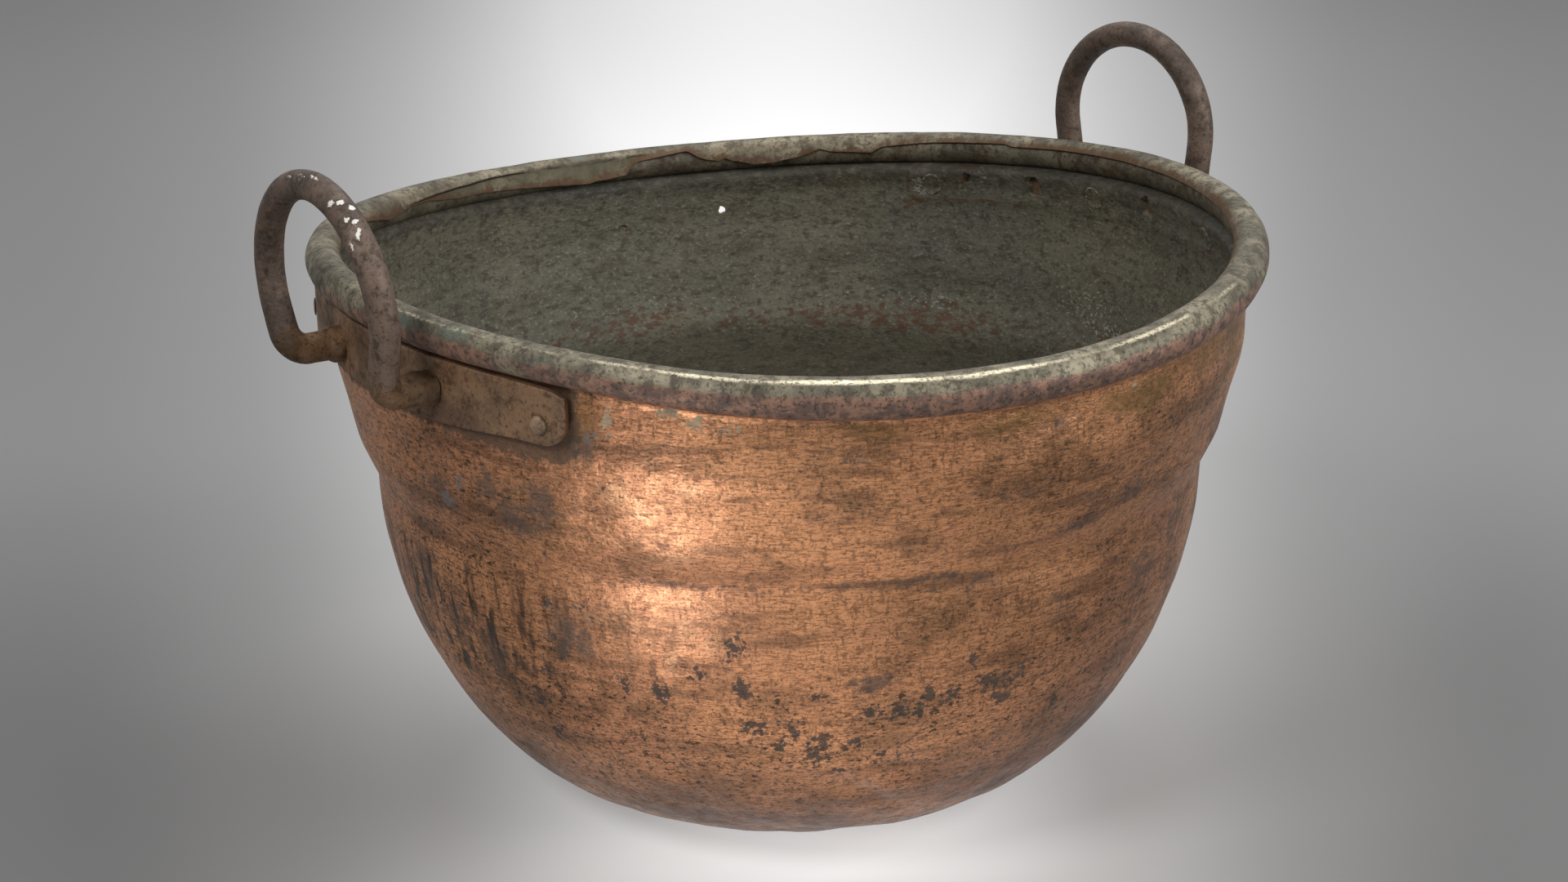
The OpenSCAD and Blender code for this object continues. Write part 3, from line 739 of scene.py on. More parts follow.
def build_strap(name, node, q):
    """A plate bent round the wall, with rounded corners and worn edges."""
    centre, height, c, bevel = q["az"], q["strap_h"], STRAP_CORNER, 0.9
    half = STRAP_HALF * math.pi / 180 * WALL_R
    u = np.concatenate([-half + c * (1 - np.cos(np.linspace(0, math.pi / 2, 14))),
                        np.linspace(-half + c, half - c, 192)[1:-1],
                        half - c * (1 - np.cos(np.linspace(math.pi / 2, 0, 14)))])
    az = centre + np.degrees(u / WALL_R)
    cut = c - np.sqrt(np.maximum(c * c - np.maximum(0, np.abs(u) - (half - c)) ** 2, 0))
    rise = 0.0
    if q is SIDES["left"]:
        # The near end of this one is rounder and narrower
        near_c = 16
        past = np.maximum(0, u - (half - near_c))
        cut = np.where(u > 0, near_c - np.sqrt(np.maximum(near_c ** 2 - past ** 2, 0)), cut)
        rise = 1.0 + 5.5 * smooth(185, 204, az)
    top, low = STRAP_TOP - 0.25 * np.minimum(cut, c), STRAP_TOP - height + cut + rise
    # One section of the plate, from the wall at the top edge round the outside to the wall below:
    # distance from the wall, and distance down from the top (1), share of the height between (0)
    # or distance down from the lower edge (-1)
    sec = [(0.0, 0.0, 1), (STRAP_T - bevel, 0.0, 1)]
    sec += [(STRAP_T - bevel + bevel * math.sin(x), bevel * (1 - math.cos(x)), 1)
            for x in np.linspace(0, math.pi / 2, 5)[1:]]
    section = sec + [(STRAP_T, v, 0) for v in np.linspace(0, 1, 18)[1:-1]]
    section += [(h, -v, -1) for h, v, _ in sec[::-1]]
    shrink = bevel * (1 - np.sqrt(1 - (1 - np.clip((half - np.abs(u)) / bevel, 0, 1)) ** 2))
    rows = []
    for h, v, part in section:
        z = {1: top - v, 0: (top - bevel) * (1 - v) + (low + bevel) * v, -1: low - v}[part]
        p = polar(WALL_R + h, az, z)
        rough = (0.28 * noise(p, 26, 61, 2) + 0.16 * noise(p, 6, 62, 3)) * (h > 1)
        rows.append(wall_out(az, z, 0.1 + np.minimum(h, STRAP_T - shrink) + rough + plate_lift(az)))
    n, cols = len(section), len(u)
    last = (n - 1) * cols
    faces = grid_faces(n, cols, wrap=False)[:, ::-1].tolist()
    faces += [[last + j, j, j + 1, last + j + 1] for j in range(cols - 1)]
    faces.append([i * cols for i in range(n)])
    faces.append([i * cols + cols - 1 for i in range(n)][::-1])
    pts = np.array(rows).reshape(-1, 3)
    ends = np.tile(np.abs(u) > half - 0.4, n)
    rust = np.clip(0.45 + 0.5 * noise(pts, 40, 95, 2) + 0.6 * ends, 0, 1)
    make_mesh(name, warp(pts), faces, MAT["strap"], node, 50, {"rust": rust})


def rotated(v, az):
    """Points turned round the axis of the pot."""
    a = math.radians(az)
    m = np.array([[math.cos(a), -math.sin(a), 0], [math.sin(a), math.cos(a), 0], [0, 0, 1]])
    return np.asarray(v) @ m.T


def shift_at(az, z):
    """How far the warp moves the wall at that place."""
    p = polar(WALL_R, np.array([az]), np.array([z]))
    return (warp(p) - p)[0]


def loop_path(q):
    """The middle line of a handle in its own frame, from its feet's height."""
    t, e, leg_in = (math.radians(q[k]) for k in ("turn", "lean", "leg_in"))
    across = np.array([math.sin(t), math.cos(t), 0])
    up = np.array([math.cos(t) * math.sin(e), -math.sin(t) * math.sin(e), math.cos(e)])
    foot_half = q["arch"] * math.cos(leg_in) - q["leg"] * math.sin(leg_in)
    arch_h = q["arch"] * math.sin(leg_in) + q["leg"] * math.cos(leg_in)
    mid = np.array([q["out"], 0, 0])
    out = np.array([1.0, 0, 0])

    def foot(s, knee_r):
        """From the wall outward, round the knee and up the leg, on side s."""
        corner = mid + s * foot_half * across
        leg = s * math.sin(leg_in) * across + math.cos(leg_in) * up
        bend = math.acos(leg @ out)
        side = leg - (leg @ out) * out
        side /= np.linalg.norm(side)
        c = corner - knee_r * math.tan(bend / 2) * out + knee_r * side
        start = np.array([FOOT_START, corner[1], corner[2]])
        pts = [start + (c - knee_r * side - start) * k for k in np.linspace(0, 1, 12)[:-1]]
        pts += [c + knee_r * (math.sin(a) * out - math.cos(a) * side)
                for a in np.linspace(0, bend, 14)]
        knee, touch = pts[-1], corner + q["leg"] * leg
        pts += [knee + (touch - knee) * k for k in np.linspace(0, 1, 14)[1:-1]]
        return pts
    arch = [mid + arch_h * up + q["arch"] * (math.cos(a) * across + math.sin(a) * up)
            for a in np.linspace(-leg_in, math.pi + leg_in, 90)]
    return np.array(foot(1, q["knees"][0]) + arch + foot(-1, q["knees"][1])[::-1])


def sweep(path, radius, sides):
    """Rings round a path, with no twist."""
    t = np.gradient(path, axis=0)
    t /= np.linalg.norm(t, axis=1, keepdims=True)
    w = np.cross(t[0], [0, 0, 1.0])
    rings = []
    for i in range(len(path)):
        w = w - (w @ t[i]) * t[i]
        w /= np.linalg.norm(w)
        v = np.cross(t[i], w)
        a = np.arange(sides) * 2 * math.pi / sides
        rings.append(path[i] + radius[i] * (np.cos(a)[:, None] * w + np.sin(a)[:, None] * v))
    return np.array(rings)


# Chips of old white paint on the left handle: way along it, place round it as a share, half
# length, half width and strength
CHIPS = [
    (188, 0.34, 7, 2.6, 0.6), (175, 0.36, 7, 2.6, 0.62), (165, 0.42, 6, 2.4, 0.6),
    (143, 0.33, 2.4, 3.0, 1), (140, 0.42, 2.4, 3.0, 1), (135, 0.5, 2.2, 2.6, 1),
    (129, 0.38, 2.0, 2.4, 1), (127, 0.45, 2.0, 2.4, 1), (121, 0.43, 3.2, 1.7, 0.9),
    (118, 0.4, 3.2, 1.7, 0.9), (116, 0.3, 3.6, 1.4, 0.8)]


def build_handle(name, node, q):
    """The bar of a handle, a little uneven, with lumps of rust at its feet."""
    path = loop_path(q)
    d = np.concatenate([[0], np.cumsum(np.linalg.norm(np.diff(path, axis=0), axis=1))])
    from_foot = np.minimum(d, d[-1] - d)
    wobble = [noise(np.stack([d, 0 * d, 0 * d + 40 * k], -1), 70, 71) for k in range(3)]
    path = path + 0.7 * np.stack(wobble, -1) * smooth(20, 60, from_foot)[:, None]
    radius = BAR_D / 2 * (1 + 0.03 * noise(np.stack([d, 0 * d, 0 * d], -1), 34, 72, 2))
    radius = radius + 1.3 * (1 - smooth(8.5, 15, from_foot)) + 0.5 * (1 - smooth(20, 60, from_foot))
    n, sides = len(path), 40
    rings = sweep(path, radius, sides)
    out = rings - path[:, None, :]
    out /= np.linalg.norm(out, axis=-1, keepdims=True)
    foot = (1 - smooth(12, 45, from_foot))[:, None]
    collar = (1 - smooth(9, 20, from_foot))[:, None]
    rough = 0.10 * noise(rings, 5, 73, 2) + 0.28 * noise(rings, 22, 74, 2)
    rough = rough + foot * (0.7 * noise(rings, 9, 75, 3))
    rough = rough + collar * (0.5 + 2.0 * noise(rings, 6.5, 76, 3))
    pts = (rings + out * rough[..., None]).reshape(-1, 3)
    faces = grid_faces(n, sides).tolist()
    faces.append(list(range(sides))[::-1])
    faces.append(list(range((n - 1) * sides, n * sides)))
    share, way = np.tile(np.arange(sides) / sides, n), np.repeat(d, sides)
    chip = np.zeros(n * sides)
    for d0, share0, width, height, strength in CHIPS if name == "left_loop" else ():
        v = ((share - share0 + 0.5) % 1 - 0.5) * math.pi * BAR_D
        near = np.exp(-(((way - d0) / width) ** 2 + (v / height) ** 2))
        chip = np.maximum(chip, strength * near)
    rust = 0.18 + 1 - smooth(14, 62, np.repeat(from_foot, sides)) + 0.4 * noise(pts, 30, 96, 2)
    pts = rotated(pts + (0, 0, q["foot_h"]), q["az"]) + shift_at(q["az"], q["foot_h"])
    make_mesh(name, pts, faces, MAT["handle"], node, 60,
              {"rust": np.clip(rust, 0, 1), "chip": chip})


# Half outlines of a rivet's flat head inside and hammered head outside: radius and height, where
# heights up to RIVET_SPLIT count from the inner face and those above it from the strap's face
RIVET_DISC = [(0.01, -0.45), (4.2, -0.4), (5.4, -0.25), (6.2, -0.7), (7.2, -0.75), (7.9, -0.4),
              (8.1, 0.3), (3.0, 0.5)]
RIVET_HEAD = [(3.0, 5.8), (5.2, 6.1), (5.6, 6.9), (5.1, 7.9), (3.9, 8.8), (2.2, 9.2), (0.01, 9.3)]
RIVET_SPLIT, RIVET_FACE, WORN_FLAT = 3, 6.2, 0.4


def build_rivet(name, node, az, z):
    """Flat head inside, shank and hammered head outside, in one mesh."""
    head, seg = RIVET_HEAD, 40
    if name == "left_rivet_1":
        head = [(r, RIVET_FACE + WORN_FLAT * (h - RIVET_FACE)) for r, h in head]
    r, h = np.array(RIVET_DISC + head).T
    a = np.arange(seg) * 2 * math.pi / seg
    shape = np.stack([r[:, None] * np.cos(a), r[:, None] * np.sin(a), h[:, None] + 0 * a], -1)
    faces = grid_faces(len(r), seg).tolist()
    shape = shape.reshape(-1, 3)
    u, v, h = shape.T
    wall_in = np.linalg.norm(wall_out(np.array([az]), np.array([z]), -SHEET)[0][:2])
    p = shape + np.array([az * 7.0, 0, 0])
    uu = u * (1 + 0.07 * noise(p, 4, 81)) + 0.2 * noise(p, 5, 82)
    vv = v * (1 + 0.07 * noise(p, 4, 83)) + 0.2 * noise(p, 5, 84)
    a, z = az + np.degrees(uu / wall_in), z + vv
    r_in = np.linalg.norm(pot_point(s_at(z), a, SHEET, True)[:, :2], axis=1)
    r_out = np.linalg.norm(wall_out(a, z, STRAP_T + 0.1)[:, :2], axis=1) + plate_lift(a)
    inside = h < RIVET_SPLIT
    r = np.where(inside, r_in + h - 0.1, r_out + (h - RIVET_FACE) + 0.15)
    # The dark mark is painted shade in a ring where the hammered head meets the strap
    marks = {"crust": 0.75 * peak(np.hypot(u, v), 7.4, 0.8) * inside, "rust": 0.3 + 0 * h,
             "dark": 1.0 * ((h > 5) & (h < 7.2))}
    pts = warp(polar(r, a, z))
    obj = make_mesh(name, pts, faces, MAT["rivet"], node, 45, marks)
    obj.data.materials.append(MAT["inside"])
    for face in obj.data.polygons:
        face.material_index = int(inside[face.vertices[0]])


# ---- materials
def srgb(r, g, b):
    """A colour as it is seen, from 0 to 255, in the linear values that the shaders take."""
    return tuple(c / 12.92 if c <= 0.04045 else ((c + 0.055) / 1.055) ** 2.4
                 for c in (r / 255, g / 255, b / 255))


def shade(colour, share):
    return tuple(min(1.0, share * c) for c in colour)


class Paint:
    """The nodes of one material, with short names for the few kinds that are used."""

    def __init__(self, name):
        self.material = bpy.data.materials.new(name)
        self.material.use_nodes = True
        self.tree = self.material.node_tree
        self.bsdf = self.tree.nodes["Principled BSDF"]
        self.here = self.add("ShaderNodeTexCoord").outputs["Object"]

    def add(self, kind, **settings):
        node = self.tree.nodes.new(kind)
        for key, value in settings.items():
            setattr(node, key, value)
        return node

    def put(self, socket, value):
        if isinstance(value, bpy.types.NodeSocket):
            self.tree.links.new(value, socket)
        elif isinstance(value, tuple) and socket.type == "RGBA":
            socket.default_value = (*value, 1.0)
        else:
            socket.default_value = value

    def math(self, operation, *values):
        node = self.add("ShaderNodeMath", operation=operation)
        for socket, value in zip(node.inputs, values):
            self.put(socket, value)
        return node.outputs[0]

    def total(self, *values):
        out = values[0]
        for value in values[1:]:
            out = self.math("ADD", out, value)
        return out

    def times(self, *values):
        out = values[0]
        for value in values[1:]:
            out = self.math("MULTIPLY", out, value)
        return out

    def noise(self, size, squeeze=(1.0, 1.0, 1.0), detail=3.0, rough=0.5, shift=0.0):
        """Noise from 0 to 1 with features of that size in millimetres, squeezed along the axes."""
        place = self.add("ShaderNodeMapping")
        self.put(place.inputs["Vector"], self.here)
        place.inputs["Scale"].default_value = squeeze
        offset = (0.37 + shift, 0.71 + 0.7 * shift, 0.13 - 0.4 * shift)
        place.inputs["Location"].default_value = offset
        node = self.add("ShaderNodeTexNoise")
        self.put(node.inputs["Vector"], place.outputs["Vector"])
        node.inputs["Scale"].default_value = 1000.0 / size
        node.inputs["Detail"].default_value = detail
        node.inputs["Roughness"].default_value = rough
        return node.outputs["Fac"]

    def band(self, value, low, high, to_low=0.0, to_high=1.0):
        """From one value to another while value goes from low to high, with a soft step."""
        node = self.add("ShaderNodeMapRange", interpolation_type="SMOOTHSTEP")
        for key, v in (("Value", value), ("From Min", low), ("From Max", high),
                       ("To Min", to_low), ("To Max", to_high)):
            self.put(node.inputs[key], v)
        return node.outputs["Result"]

    def mark(self, name):
        return self.add("ShaderNodeAttribute", attribute_name=name).outputs["Fac"]

    def blot(self, name, low, high, *ragged):
        """A mark with ragged edges, from pairs of a noise and how much it counts."""
        value = self.mark(name)
        for noise_, contrast in ragged:
            value = self.total(value, self.times(self.total(noise_, -0.5), contrast))
        return self.band(value, low, high)

    def mix(self, share, a, b):
        node = self.add("ShaderNodeMix", data_type="RGBA")
        for socket, value in zip((node.inputs[0], node.inputs[6], node.inputs[7]), (share, a, b)):
            self.put(socket, value)
        return node.outputs[2]

    def coat(self, share, colour, strength=None):
        """Lays a colour over what is there."""
        if strength is not None:
            share = self.times(share, strength)
        self.colour = self.mix(share, self.colour, colour)

    def tint(self, value, low, high, share, *rgb):
        """Lays a colour over it where a noise goes from low to high."""
        self.coat(self.band(value, low, high, 0.0, share), srgb(*rgb))

    def finish(self, rough, metal, height):
        """Height is in millimetres."""
        bump = self.add("ShaderNodeBump")
        bump.inputs["Distance"].default_value = MM
        self.put(bump.inputs["Height"], height)
        self.put(self.bsdf.inputs["Normal"], bump.outputs["Normal"])
        self.put(self.bsdf.inputs["Base Color"], self.colour)
        self.put(self.bsdf.inputs["Roughness"], rough)
        self.put(self.bsdf.inputs["Metallic"], metal)
        return self.material


def copper_outside():
    p = Paint("copper")
    broad = p.noise(130, detail=2)
    cloud = p.noise(46, (1, 1, 1.5), 5, 0.6, 1.0)
    bands = p.noise(60, (0.7, 0.7, 5.0), 4, 0.55, 2.0)
    brushed = p.noise(7, (1, 1, 6.0), 4, 0.65, 3.0)
    upright = p.noise(9, (1, 1, 0.16), 3, 0.6, 4.0)
    cross = p.noise(2.6, (1, 1, 0.3), 3, 0.65, 10.0)
    grain = p.noise(1.8, (1, 1, 1.6), 3, 0.6, 5.0)
    dashes = p.noise(4.2, (1, 1, 1.8), 4, 0.7, 6.0)
    spots = p.noise(8, detail=5, rough=0.65, shift=7.0)
    ragged = p.noise(5, detail=4, rough=0.7, shift=8.0)
    hammer = p.noise(15, detail=2, rough=0.45, shift=9.0)

    p.colour = p.mix(p.band(broad, 0.35, 0.65), srgb(232, 167, 119), srgb(214, 152, 112))
    p.tint(cloud, 0.48, 0.68, 0.6, 134, 103, 76)
    p.tint(bands, 0.5, 0.68, 0.6, 118, 88, 68)
    p.tint(brushed, 0.46, 0.63, 0.6, 126, 86, 62)
    p.tint(brushed, 0.42, 0.3, 0.35, 236, 186, 146)
    p.tint(cross, 0.52, 0.67, 0.52, 108, 74, 54)
    # Painted shade towards the bottom and on the right side
    p.coat(p.times(p.mark("low_and_right_shade"), p.band(cloud, 0.3, 0.6, 0.5, 0.9)), srgb(96, 67, 51))
    p.coat(p.times(p.band(upright, 0.5, 0.66), p.mark("streak")), srgb(66, 58, 50))
    # Fine dark flecks, denser low on the pot and at the left
    dense = p.math("MINIMUM", p.total(p.mark("worn"), p.band(cloud, 0.42, 0.7, 0.0, 0.6)), 1.0)
    p.coat(p.times(p.band(dashes, 0.53, 0.62), dense), srgb(62, 52, 42), 0.95)
    p.tint(grain, 0.51, 0.66, 0.6, 84, 58, 44)
    # Smudges, with the painted shade along the crease laid in with them
    smudge_and_crease_shade = p.blot("smudge_and_crease_shade", 0.3, 0.9, (spots, 2.2))
    p.coat(smudge_and_crease_shade, srgb(76, 67, 62), 0.74)
    # Painted highlight: paler copper on the polished patches, which are also smoother
    highlight_polish = p.blot("polish_and_highlight", 0.3, 0.9, (cloud, 1.6))
    clear_highlight_polish = p.times(highlight_polish, p.band(dashes, 0.6, 0.5))
    p.coat(clear_highlight_polish, srgb(236, 186, 142), 0.3)
    p.coat(p.blot("ochre", 0.25, 0.9, (cloud, 2.0)), srgb(122, 98, 54), 0.5)
    blue = p.blot("blue", 0.55, 0.8, (ragged, 2.6))
    p.coat(blue, srgb(86, 88, 88), 0.85)
    teal = p.blot("teal", 0.6, 0.85, (ragged, 3.0))
    p.coat(teal, srgb(124, 140, 120), 0.6)
    # Rust stains, with the painted shadow round the straps and under the roll
    rust = p.blot("rust", 0.3, 0.8, (spots, 1.8))
    p.coat(rust, srgb(62, 48, 34), 0.85)
    # Soot, with the painted shadow along the bottom edge
    soot = p.blot("soot", 0.5, 0.75, (ragged, 3.4))
    p.coat(soot, srgb(46, 44, 42), 0.85)

    dirt = p.math("MINIMUM", p.total(soot, rust, teal, blue, p.times(smudge_and_crease_shade, 0.4)), 1.0)
    rough = p.total(p.band(spots, 0.3, 0.7, 0.34, 0.48), p.times(dirt, 0.25), p.times(clear_highlight_polish, -0.06))
    metal = p.total(0.78, p.times(dirt, -0.55))
    height = p.total(p.times(hammer, p.total(0.6, p.times(p.mark("worn"), 1.2))),
                     p.times(spots, 0.45), p.times(brushed, 0.1), p.times(grain, 0.16),
                     p.times(dashes, -0.16), p.times(cross, -0.05),
                     p.times(upright, p.mark("streak"), -0.2))
    return p.finish(rough, metal, height)


def copper_inside():
    p = Paint("inside")
    broad = p.noise(110, detail=3, shift=1.0)
    cloud = p.noise(38, (1, 1, 2.4), 5, 0.6, 2.0)
    spots = p.noise(8, (1, 1, 1.9), 5, 0.65, 3.0)
    fine = p.noise(2.8, (1, 1, 1.5), 4, 0.65, 4.0)
    p.colour = p.mix(p.band(broad, 0.38, 0.62), srgb(97, 92, 76), srgb(87, 84, 71))
    p.tint(cloud, 0.45, 0.68, 0.75, 72, 66, 52)
    p.tint(spots, 0.48, 0.66, 0.7, 50, 46, 37)
    p.tint(fine, 0.54, 0.7, 0.6, 134, 130, 112)
    p.tint(fine, 0.45, 0.33, 0.65, 40, 36, 28)
    p.coat(p.mark("low"), srgb(70, 64, 50), 0.45)
    p.coat(p.blot("rust", 0.5, 0.85, (spots, 3.0)), srgb(84, 56, 34), 0.8)
    crust = p.blot("crust", 0.6, 0.85, (fine, 3.2))
    p.coat(crust, srgb(150, 147, 130), 0.7)
    p.coat(p.blot("teal", 0.6, 0.85, (fine, 3.0)), srgb(112, 124, 104), 0.5)
    # Soot, with the painted shade under the rim and towards the bottom
    p.coat(p.blot("soot", 0.3, 0.8, (spots, 1.4)), srgb(46, 42, 34), 0.7)
    height = p.total(p.times(spots, 0.9), p.times(fine, 0.3), p.times(cloud, 0.8),
                     p.times(crust, 0.15))
    return p.finish(p.band(spots, 0.3, 0.7, 0.62, 0.8), 0.12, height)


def rim_metal():
    p = Paint("rim")
    cloud = p.noise(34, detail=5, rough=0.6, shift=1.0)
    spots = p.noise(8, detail=5, rough=0.65, shift=2.0)
    fine = p.noise(2.8, detail=4, rough=0.7, shift=3.0)
    dashes = p.noise(6, (1, 1, 2.5), 4, 0.65, 4.0)
    p.colour = p.mix(p.band(cloud, 0.4, 0.6), srgb(136, 128, 108), srgb(96, 91, 76))
    p.tint(spots, 0.46, 0.62, 0.75, 70, 64, 52)
    pink = p.mix(p.band(spots, 0.4, 0.6), srgb(146, 112, 94), srgb(104, 84, 76))
    p.coat(p.blot("under", 0.35, 0.8, (cloud, 1.2)), pink)
    # Pale worn ridge with a painted highlight, strongest at the front
    worn = p.blot("ridge_wear_and_highlight", 0.5, 0.95, (fine, 1.9), (cloud, 1.2))
    p.coat(worn, srgb(226, 214, 184), 0.85)
    p.coat(p.band(fine, 0.52, 0.62), srgb(52, 46, 38), 0.7)
    p.coat(p.band(dashes, 0.58, 0.68), srgb(52, 46, 40), 0.5)
    teal = p.blot("teal", 0.6, 0.85, (fine, 2.6), (cloud, 1.5))
    p.coat(teal, srgb(118, 128, 116), 0.5)
    p.coat(p.times(p.mark("inner"), p.band(spots, 0.3, 0.6, 0.8, 0.5)), srgb(96, 80, 58))
    p.coat(p.times(p.mark("flap"), p.band(cloud, 0.3, 0.6, 0.5, 0.85)), srgb(72, 68, 50))
    p.coat(p.mark("crack"), srgb(34, 27, 20), 0.9)
    p.coat(p.blot("rust", 0.45, 0.8, (spots, 2.0)), srgb(84, 58, 36), 0.75)
    rough = p.total(p.band(spots, 0.3, 0.7, 0.5, 0.68), p.times(teal, 0.2), p.times(worn, -0.1))
    height = p.total(p.times(spots, 0.6), p.times(fine, 0.3), p.times(dashes, -0.2),
                     p.times(cloud, 0.6))
    return p.finish(rough, 0.5, height)


def forged_iron(name, light, dark, rust, grain_mm=0.3, chips=False):
    """Dark iron with a grainy skin, rust where the rust mark says, and chips of old paint."""
    p = Paint(name)
    cloud = p.noise(30, detail=4, rough=0.6, shift=1.0)
    spots = p.noise(7, detail=5, rough=0.65, shift=2.0)
    fine = p.noise(2.4, detail=4, rough=0.7, shift=3.0)
    p.colour = p.mix(p.band(cloud, 0.38, 0.64), light, dark)
    old = p.mix(p.band(cloud, 0.4, 0.6), rust, shade(rust, 0.55))
    p.coat(p.blot("rust", 0.3, 0.95, (spots, 2.6)), old, 0.8)
    p.coat(p.band(spots, 0.5, 0.66, 0.0, 0.7), shade(dark, 0.4))
    p.coat(p.band(fine, 0.56, 0.72, 0.0, 0.4), shade(light, 1.6))
    p.coat(p.band(fine, 0.46, 0.34, 0.0, 0.75), shade(dark, 0.3))
    # Painted shade under a rivet's head, where the dark mark says
    p.coat(p.mark("dark"), shade(dark, 0.2), 0.8)
    if chips:
        p.coat(p.blot("chip", 0.5, 0.62, (fine, 1.6)), srgb(214, 212, 204), 0.95)
    height = p.total(p.times(spots, 0.5), p.times(fine, grain_mm), p.times(cloud, 0.3))
    return p.finish(p.band(spots, 0.3, 0.7, 0.5, 0.72), 0.3, height)


def floor_paint():
    """A pale floor, lightest in a painted pool of light behind and in front of the pot, with
    painted shade towards the sides.
    """
    p = Paint("floor")
    turned = p.add("ShaderNodeVectorRotate", rotation_type="Z_AXIS")
    p.put(turned.inputs["Vector"], p.here)
    turned.inputs["Angle"].default_value = -math.radians(CAMERA_AZ)
    split = p.add("ShaderNodeSeparateXYZ")
    p.put(split.inputs[0], turned.outputs[0])
    right, back = split.outputs[0], split.outputs[1]
    # The distance to the side, as a share of half of the photograph's width there
    wider_per_m, width_at_pot, least = 0.2877, 0.476, 0.3
    width = p.total(p.times(back, wider_per_m), width_at_pot)
    side = p.math("DIVIDE", p.math("ABSOLUTE", right), p.math("MAXIMUM", width, least))
    # Painted shade: darker towards the sides, most of all near the front
    edge = p.times(p.band(side, 0.5, 1.05), p.band(back, 0.7, -0.1, 0.0, 0.38))
    far = p.band(back, 0.8, 2.6, 1.0, 1.3)
    # Painted pool of light: palest down the middle and further back
    pale = p.times(p.band(side, 0.02, 0.75, 0.80, 0.31), p.band(side, 0.5, 1.0, 1.0, 0.78), far,
                   p.total(1.0, p.times(edge, -1.0)), p.band(back, -0.6, -0.28, 0.7, 1.0))
    grey = p.mix(p.math("MINIMUM", pale, 0.85), (0, 0, 0), (1, 1, 1))
    p.put(p.bsdf.inputs["Base Color"], grey)
    # Its glow is seen, also in reflections, but lights nothing
    rays = p.add("ShaderNodeLightPath").outputs
    seen = p.math("MAXIMUM", rays["Is Glossy Ray"], rays["Is Transmission Ray"])
    seen = p.math("MAXIMUM", rays["Is Camera Ray"], seen)
    glow_back = p.times(p.band(back, 1.3, 1.9, 0.0, 0.262), p.band(back, 1.9, 3.2, 1.0, 1.17),
                        p.band(back, 6.0, 3.2))
    glow_front = p.times(p.band(back, -0.24, -0.12, 0.0, 0.52), p.band(back, 0.5, 0.1))
    glow = p.times(seen, p.band(side, 0.52, 0.0), p.total(glow_back, glow_front))
    p.put(p.bsdf.inputs["Emission Strength"], glow)
    p.put(p.bsdf.inputs["Emission Color"], (1, 1, 1))
    p.bsdf.inputs["Roughness"].default_value = 0.9
    p.bsdf.inputs["Specular IOR Level"].default_value = 0.1
    return p.material


MAT = {
    "copper": copper_outside(),
    "inside": copper_inside(),
    "rim": rim_metal(),
    "ring": forged_iron("ring", srgb(104, 98, 80), srgb(76, 70, 56), srgb(84, 60, 40), 0.4),
    "strap": forged_iron("strap", srgb(126, 98, 72), srgb(92, 70, 52), srgb(128, 82, 46), 0.4),
    "handle": forged_iron("handle", srgb(104, 86, 73), srgb(72, 59, 50), srgb(116, 84, 48), 0.4,
                          chips=True),
    "rivet": forged_iron("rivet", srgb(142, 116, 92), srgb(102, 84, 68), srgb(104, 78, 50), 0.3),
    "floor": floor_paint(),
}


# ---- the object
build_body()
build_rim()
build_ring()
for side, q in SIDES.items():
    build_strap(side + "_plate", side + "_strap", q)
    build_handle(side + "_loop", side + "_handle", q)
    for i in (1, 2, 3):
        build_rivet(f"{side}_rivet_{i}", f"{side}_strap_rivet_{i}",
                    q["az"] + (i - 2) * RIVET_AZ, STRAP_TOP - q["strap_h"] / 2)


# ---- camera, floor and light
# The camera that matches the photograph, by its place seen from the middle of the rim: distance in
# metres, elevation, pitch, yaw and roll in degrees, lens and sensor in millimetres
CAMERA_DIST, CAMERA_ANGLES = 1.710, (14.817, 18.92, -0.107, -0.920)
CAMERA_LENS, CAMERA_SENSOR = 62.58, 36.0


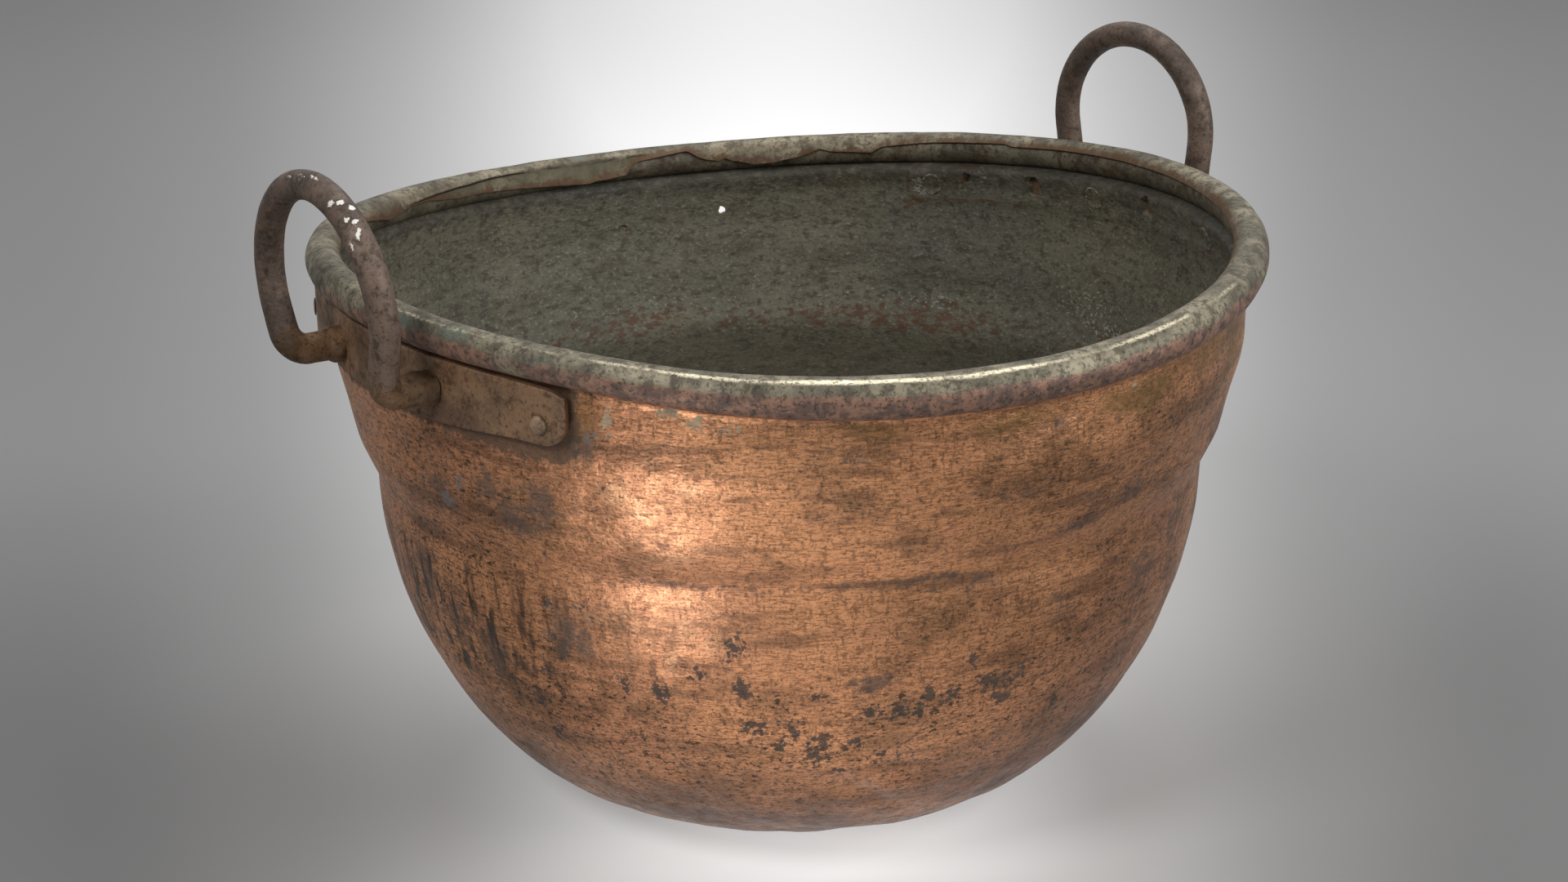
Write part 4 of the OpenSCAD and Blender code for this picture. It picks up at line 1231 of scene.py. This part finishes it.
def build_camera():
    elev, pitch, yaw, roll = (math.radians(a) for a in CAMERA_ANGLES)
    data = bpy.data.cameras.new("camera")
    data.lens, data.sensor_width = CAMERA_LENS, CAMERA_SENSOR
    data.clip_start, data.clip_end = 0.05, 60
    away = Vector((0, -math.cos(elev), math.sin(elev))) * CAMERA_DIST
    cam = in_scene("camera", data)
    cam.matrix_world = (Matrix.Translation((0, 0, RIM_H * MM))
                        @ Matrix.Rotation(math.radians(CAMERA_AZ), 4, "Z")
                        @ Matrix.Translation(away) @ Matrix.Rotation(-yaw, 4, "Z")
                        @ Matrix.Rotation(math.pi / 2 - pitch, 4, "X")
                        @ Matrix.Rotation(roll, 4, "Z"))
    bpy.context.scene.camera = cam


def build_stage():
    """The floor, a hair below the pot."""
    points, size, drop = 9, 14.0, 0.0004
    g = np.linspace(-size, size, points)
    x, y = np.meshgrid(g, g)
    v = np.stack([x.ravel(), y.ravel(), np.full(points ** 2, -drop)], -1)
    mesh = bpy.data.meshes.new("floor")
    mesh.from_pydata(v.tolist(), [], grid_faces(points, points, wrap=False).tolist())
    mesh.materials.append(MAT["floor"])
    in_scene("floor", mesh)


def from_camera(right, back, up):
    """A place given by metres to the right of, behind and above the pot, as the camera sees it."""
    a = math.radians(CAMERA_AZ)
    return (right * math.cos(a) - back * math.sin(a), right * math.sin(a) + back * math.cos(a), up)


def area_light(name, place, target, size, power, spread=180.0):
    """A round lamp of a size in metres and a power in watts, which the camera doesn't see."""
    data = bpy.data.lights.new(name, "AREA")
    data.shape, data.size, data.energy, data.spread = "DISK", size, power, math.radians(spread)
    obj = in_scene(name, data)
    obj.location = place
    obj.rotation_mode = "QUATERNION"
    obj.rotation_quaternion = (Vector(target) - Vector(place)).to_track_quat("-Z", "Y")
    obj.visible_camera = False


def build_world():
    world = bpy.data.worlds.new("studio")
    world.use_nodes = True
    bg = world.node_tree.nodes["Background"]
    bg.inputs["Color"].default_value = (0.9, 0.9, 0.9, 1)
    bg.inputs["Strength"].default_value = 0.55
    bpy.context.scene.world = world


build_camera()
build_stage()
build_world()
area_light("key", from_camera(-1.3, -1.6, 1.9), (0, 0, 0.25), 0.9, 28)
area_light("shine", from_camera(-0.25, -0.51, 0.04), from_camera(-0.08, -0.27, 0.25), 0.12, 0.075,
           spread=66.0)
area_light("fill", from_camera(1.9, -1.0, 1.2), (0, 0, 0.2), 1.6, 37)
area_light("top", from_camera(0.2, 0.8, 2.2), (0, 0, 0.2), 1.6, 24)
bpy.context.scene.view_settings.view_transform = "Standard"
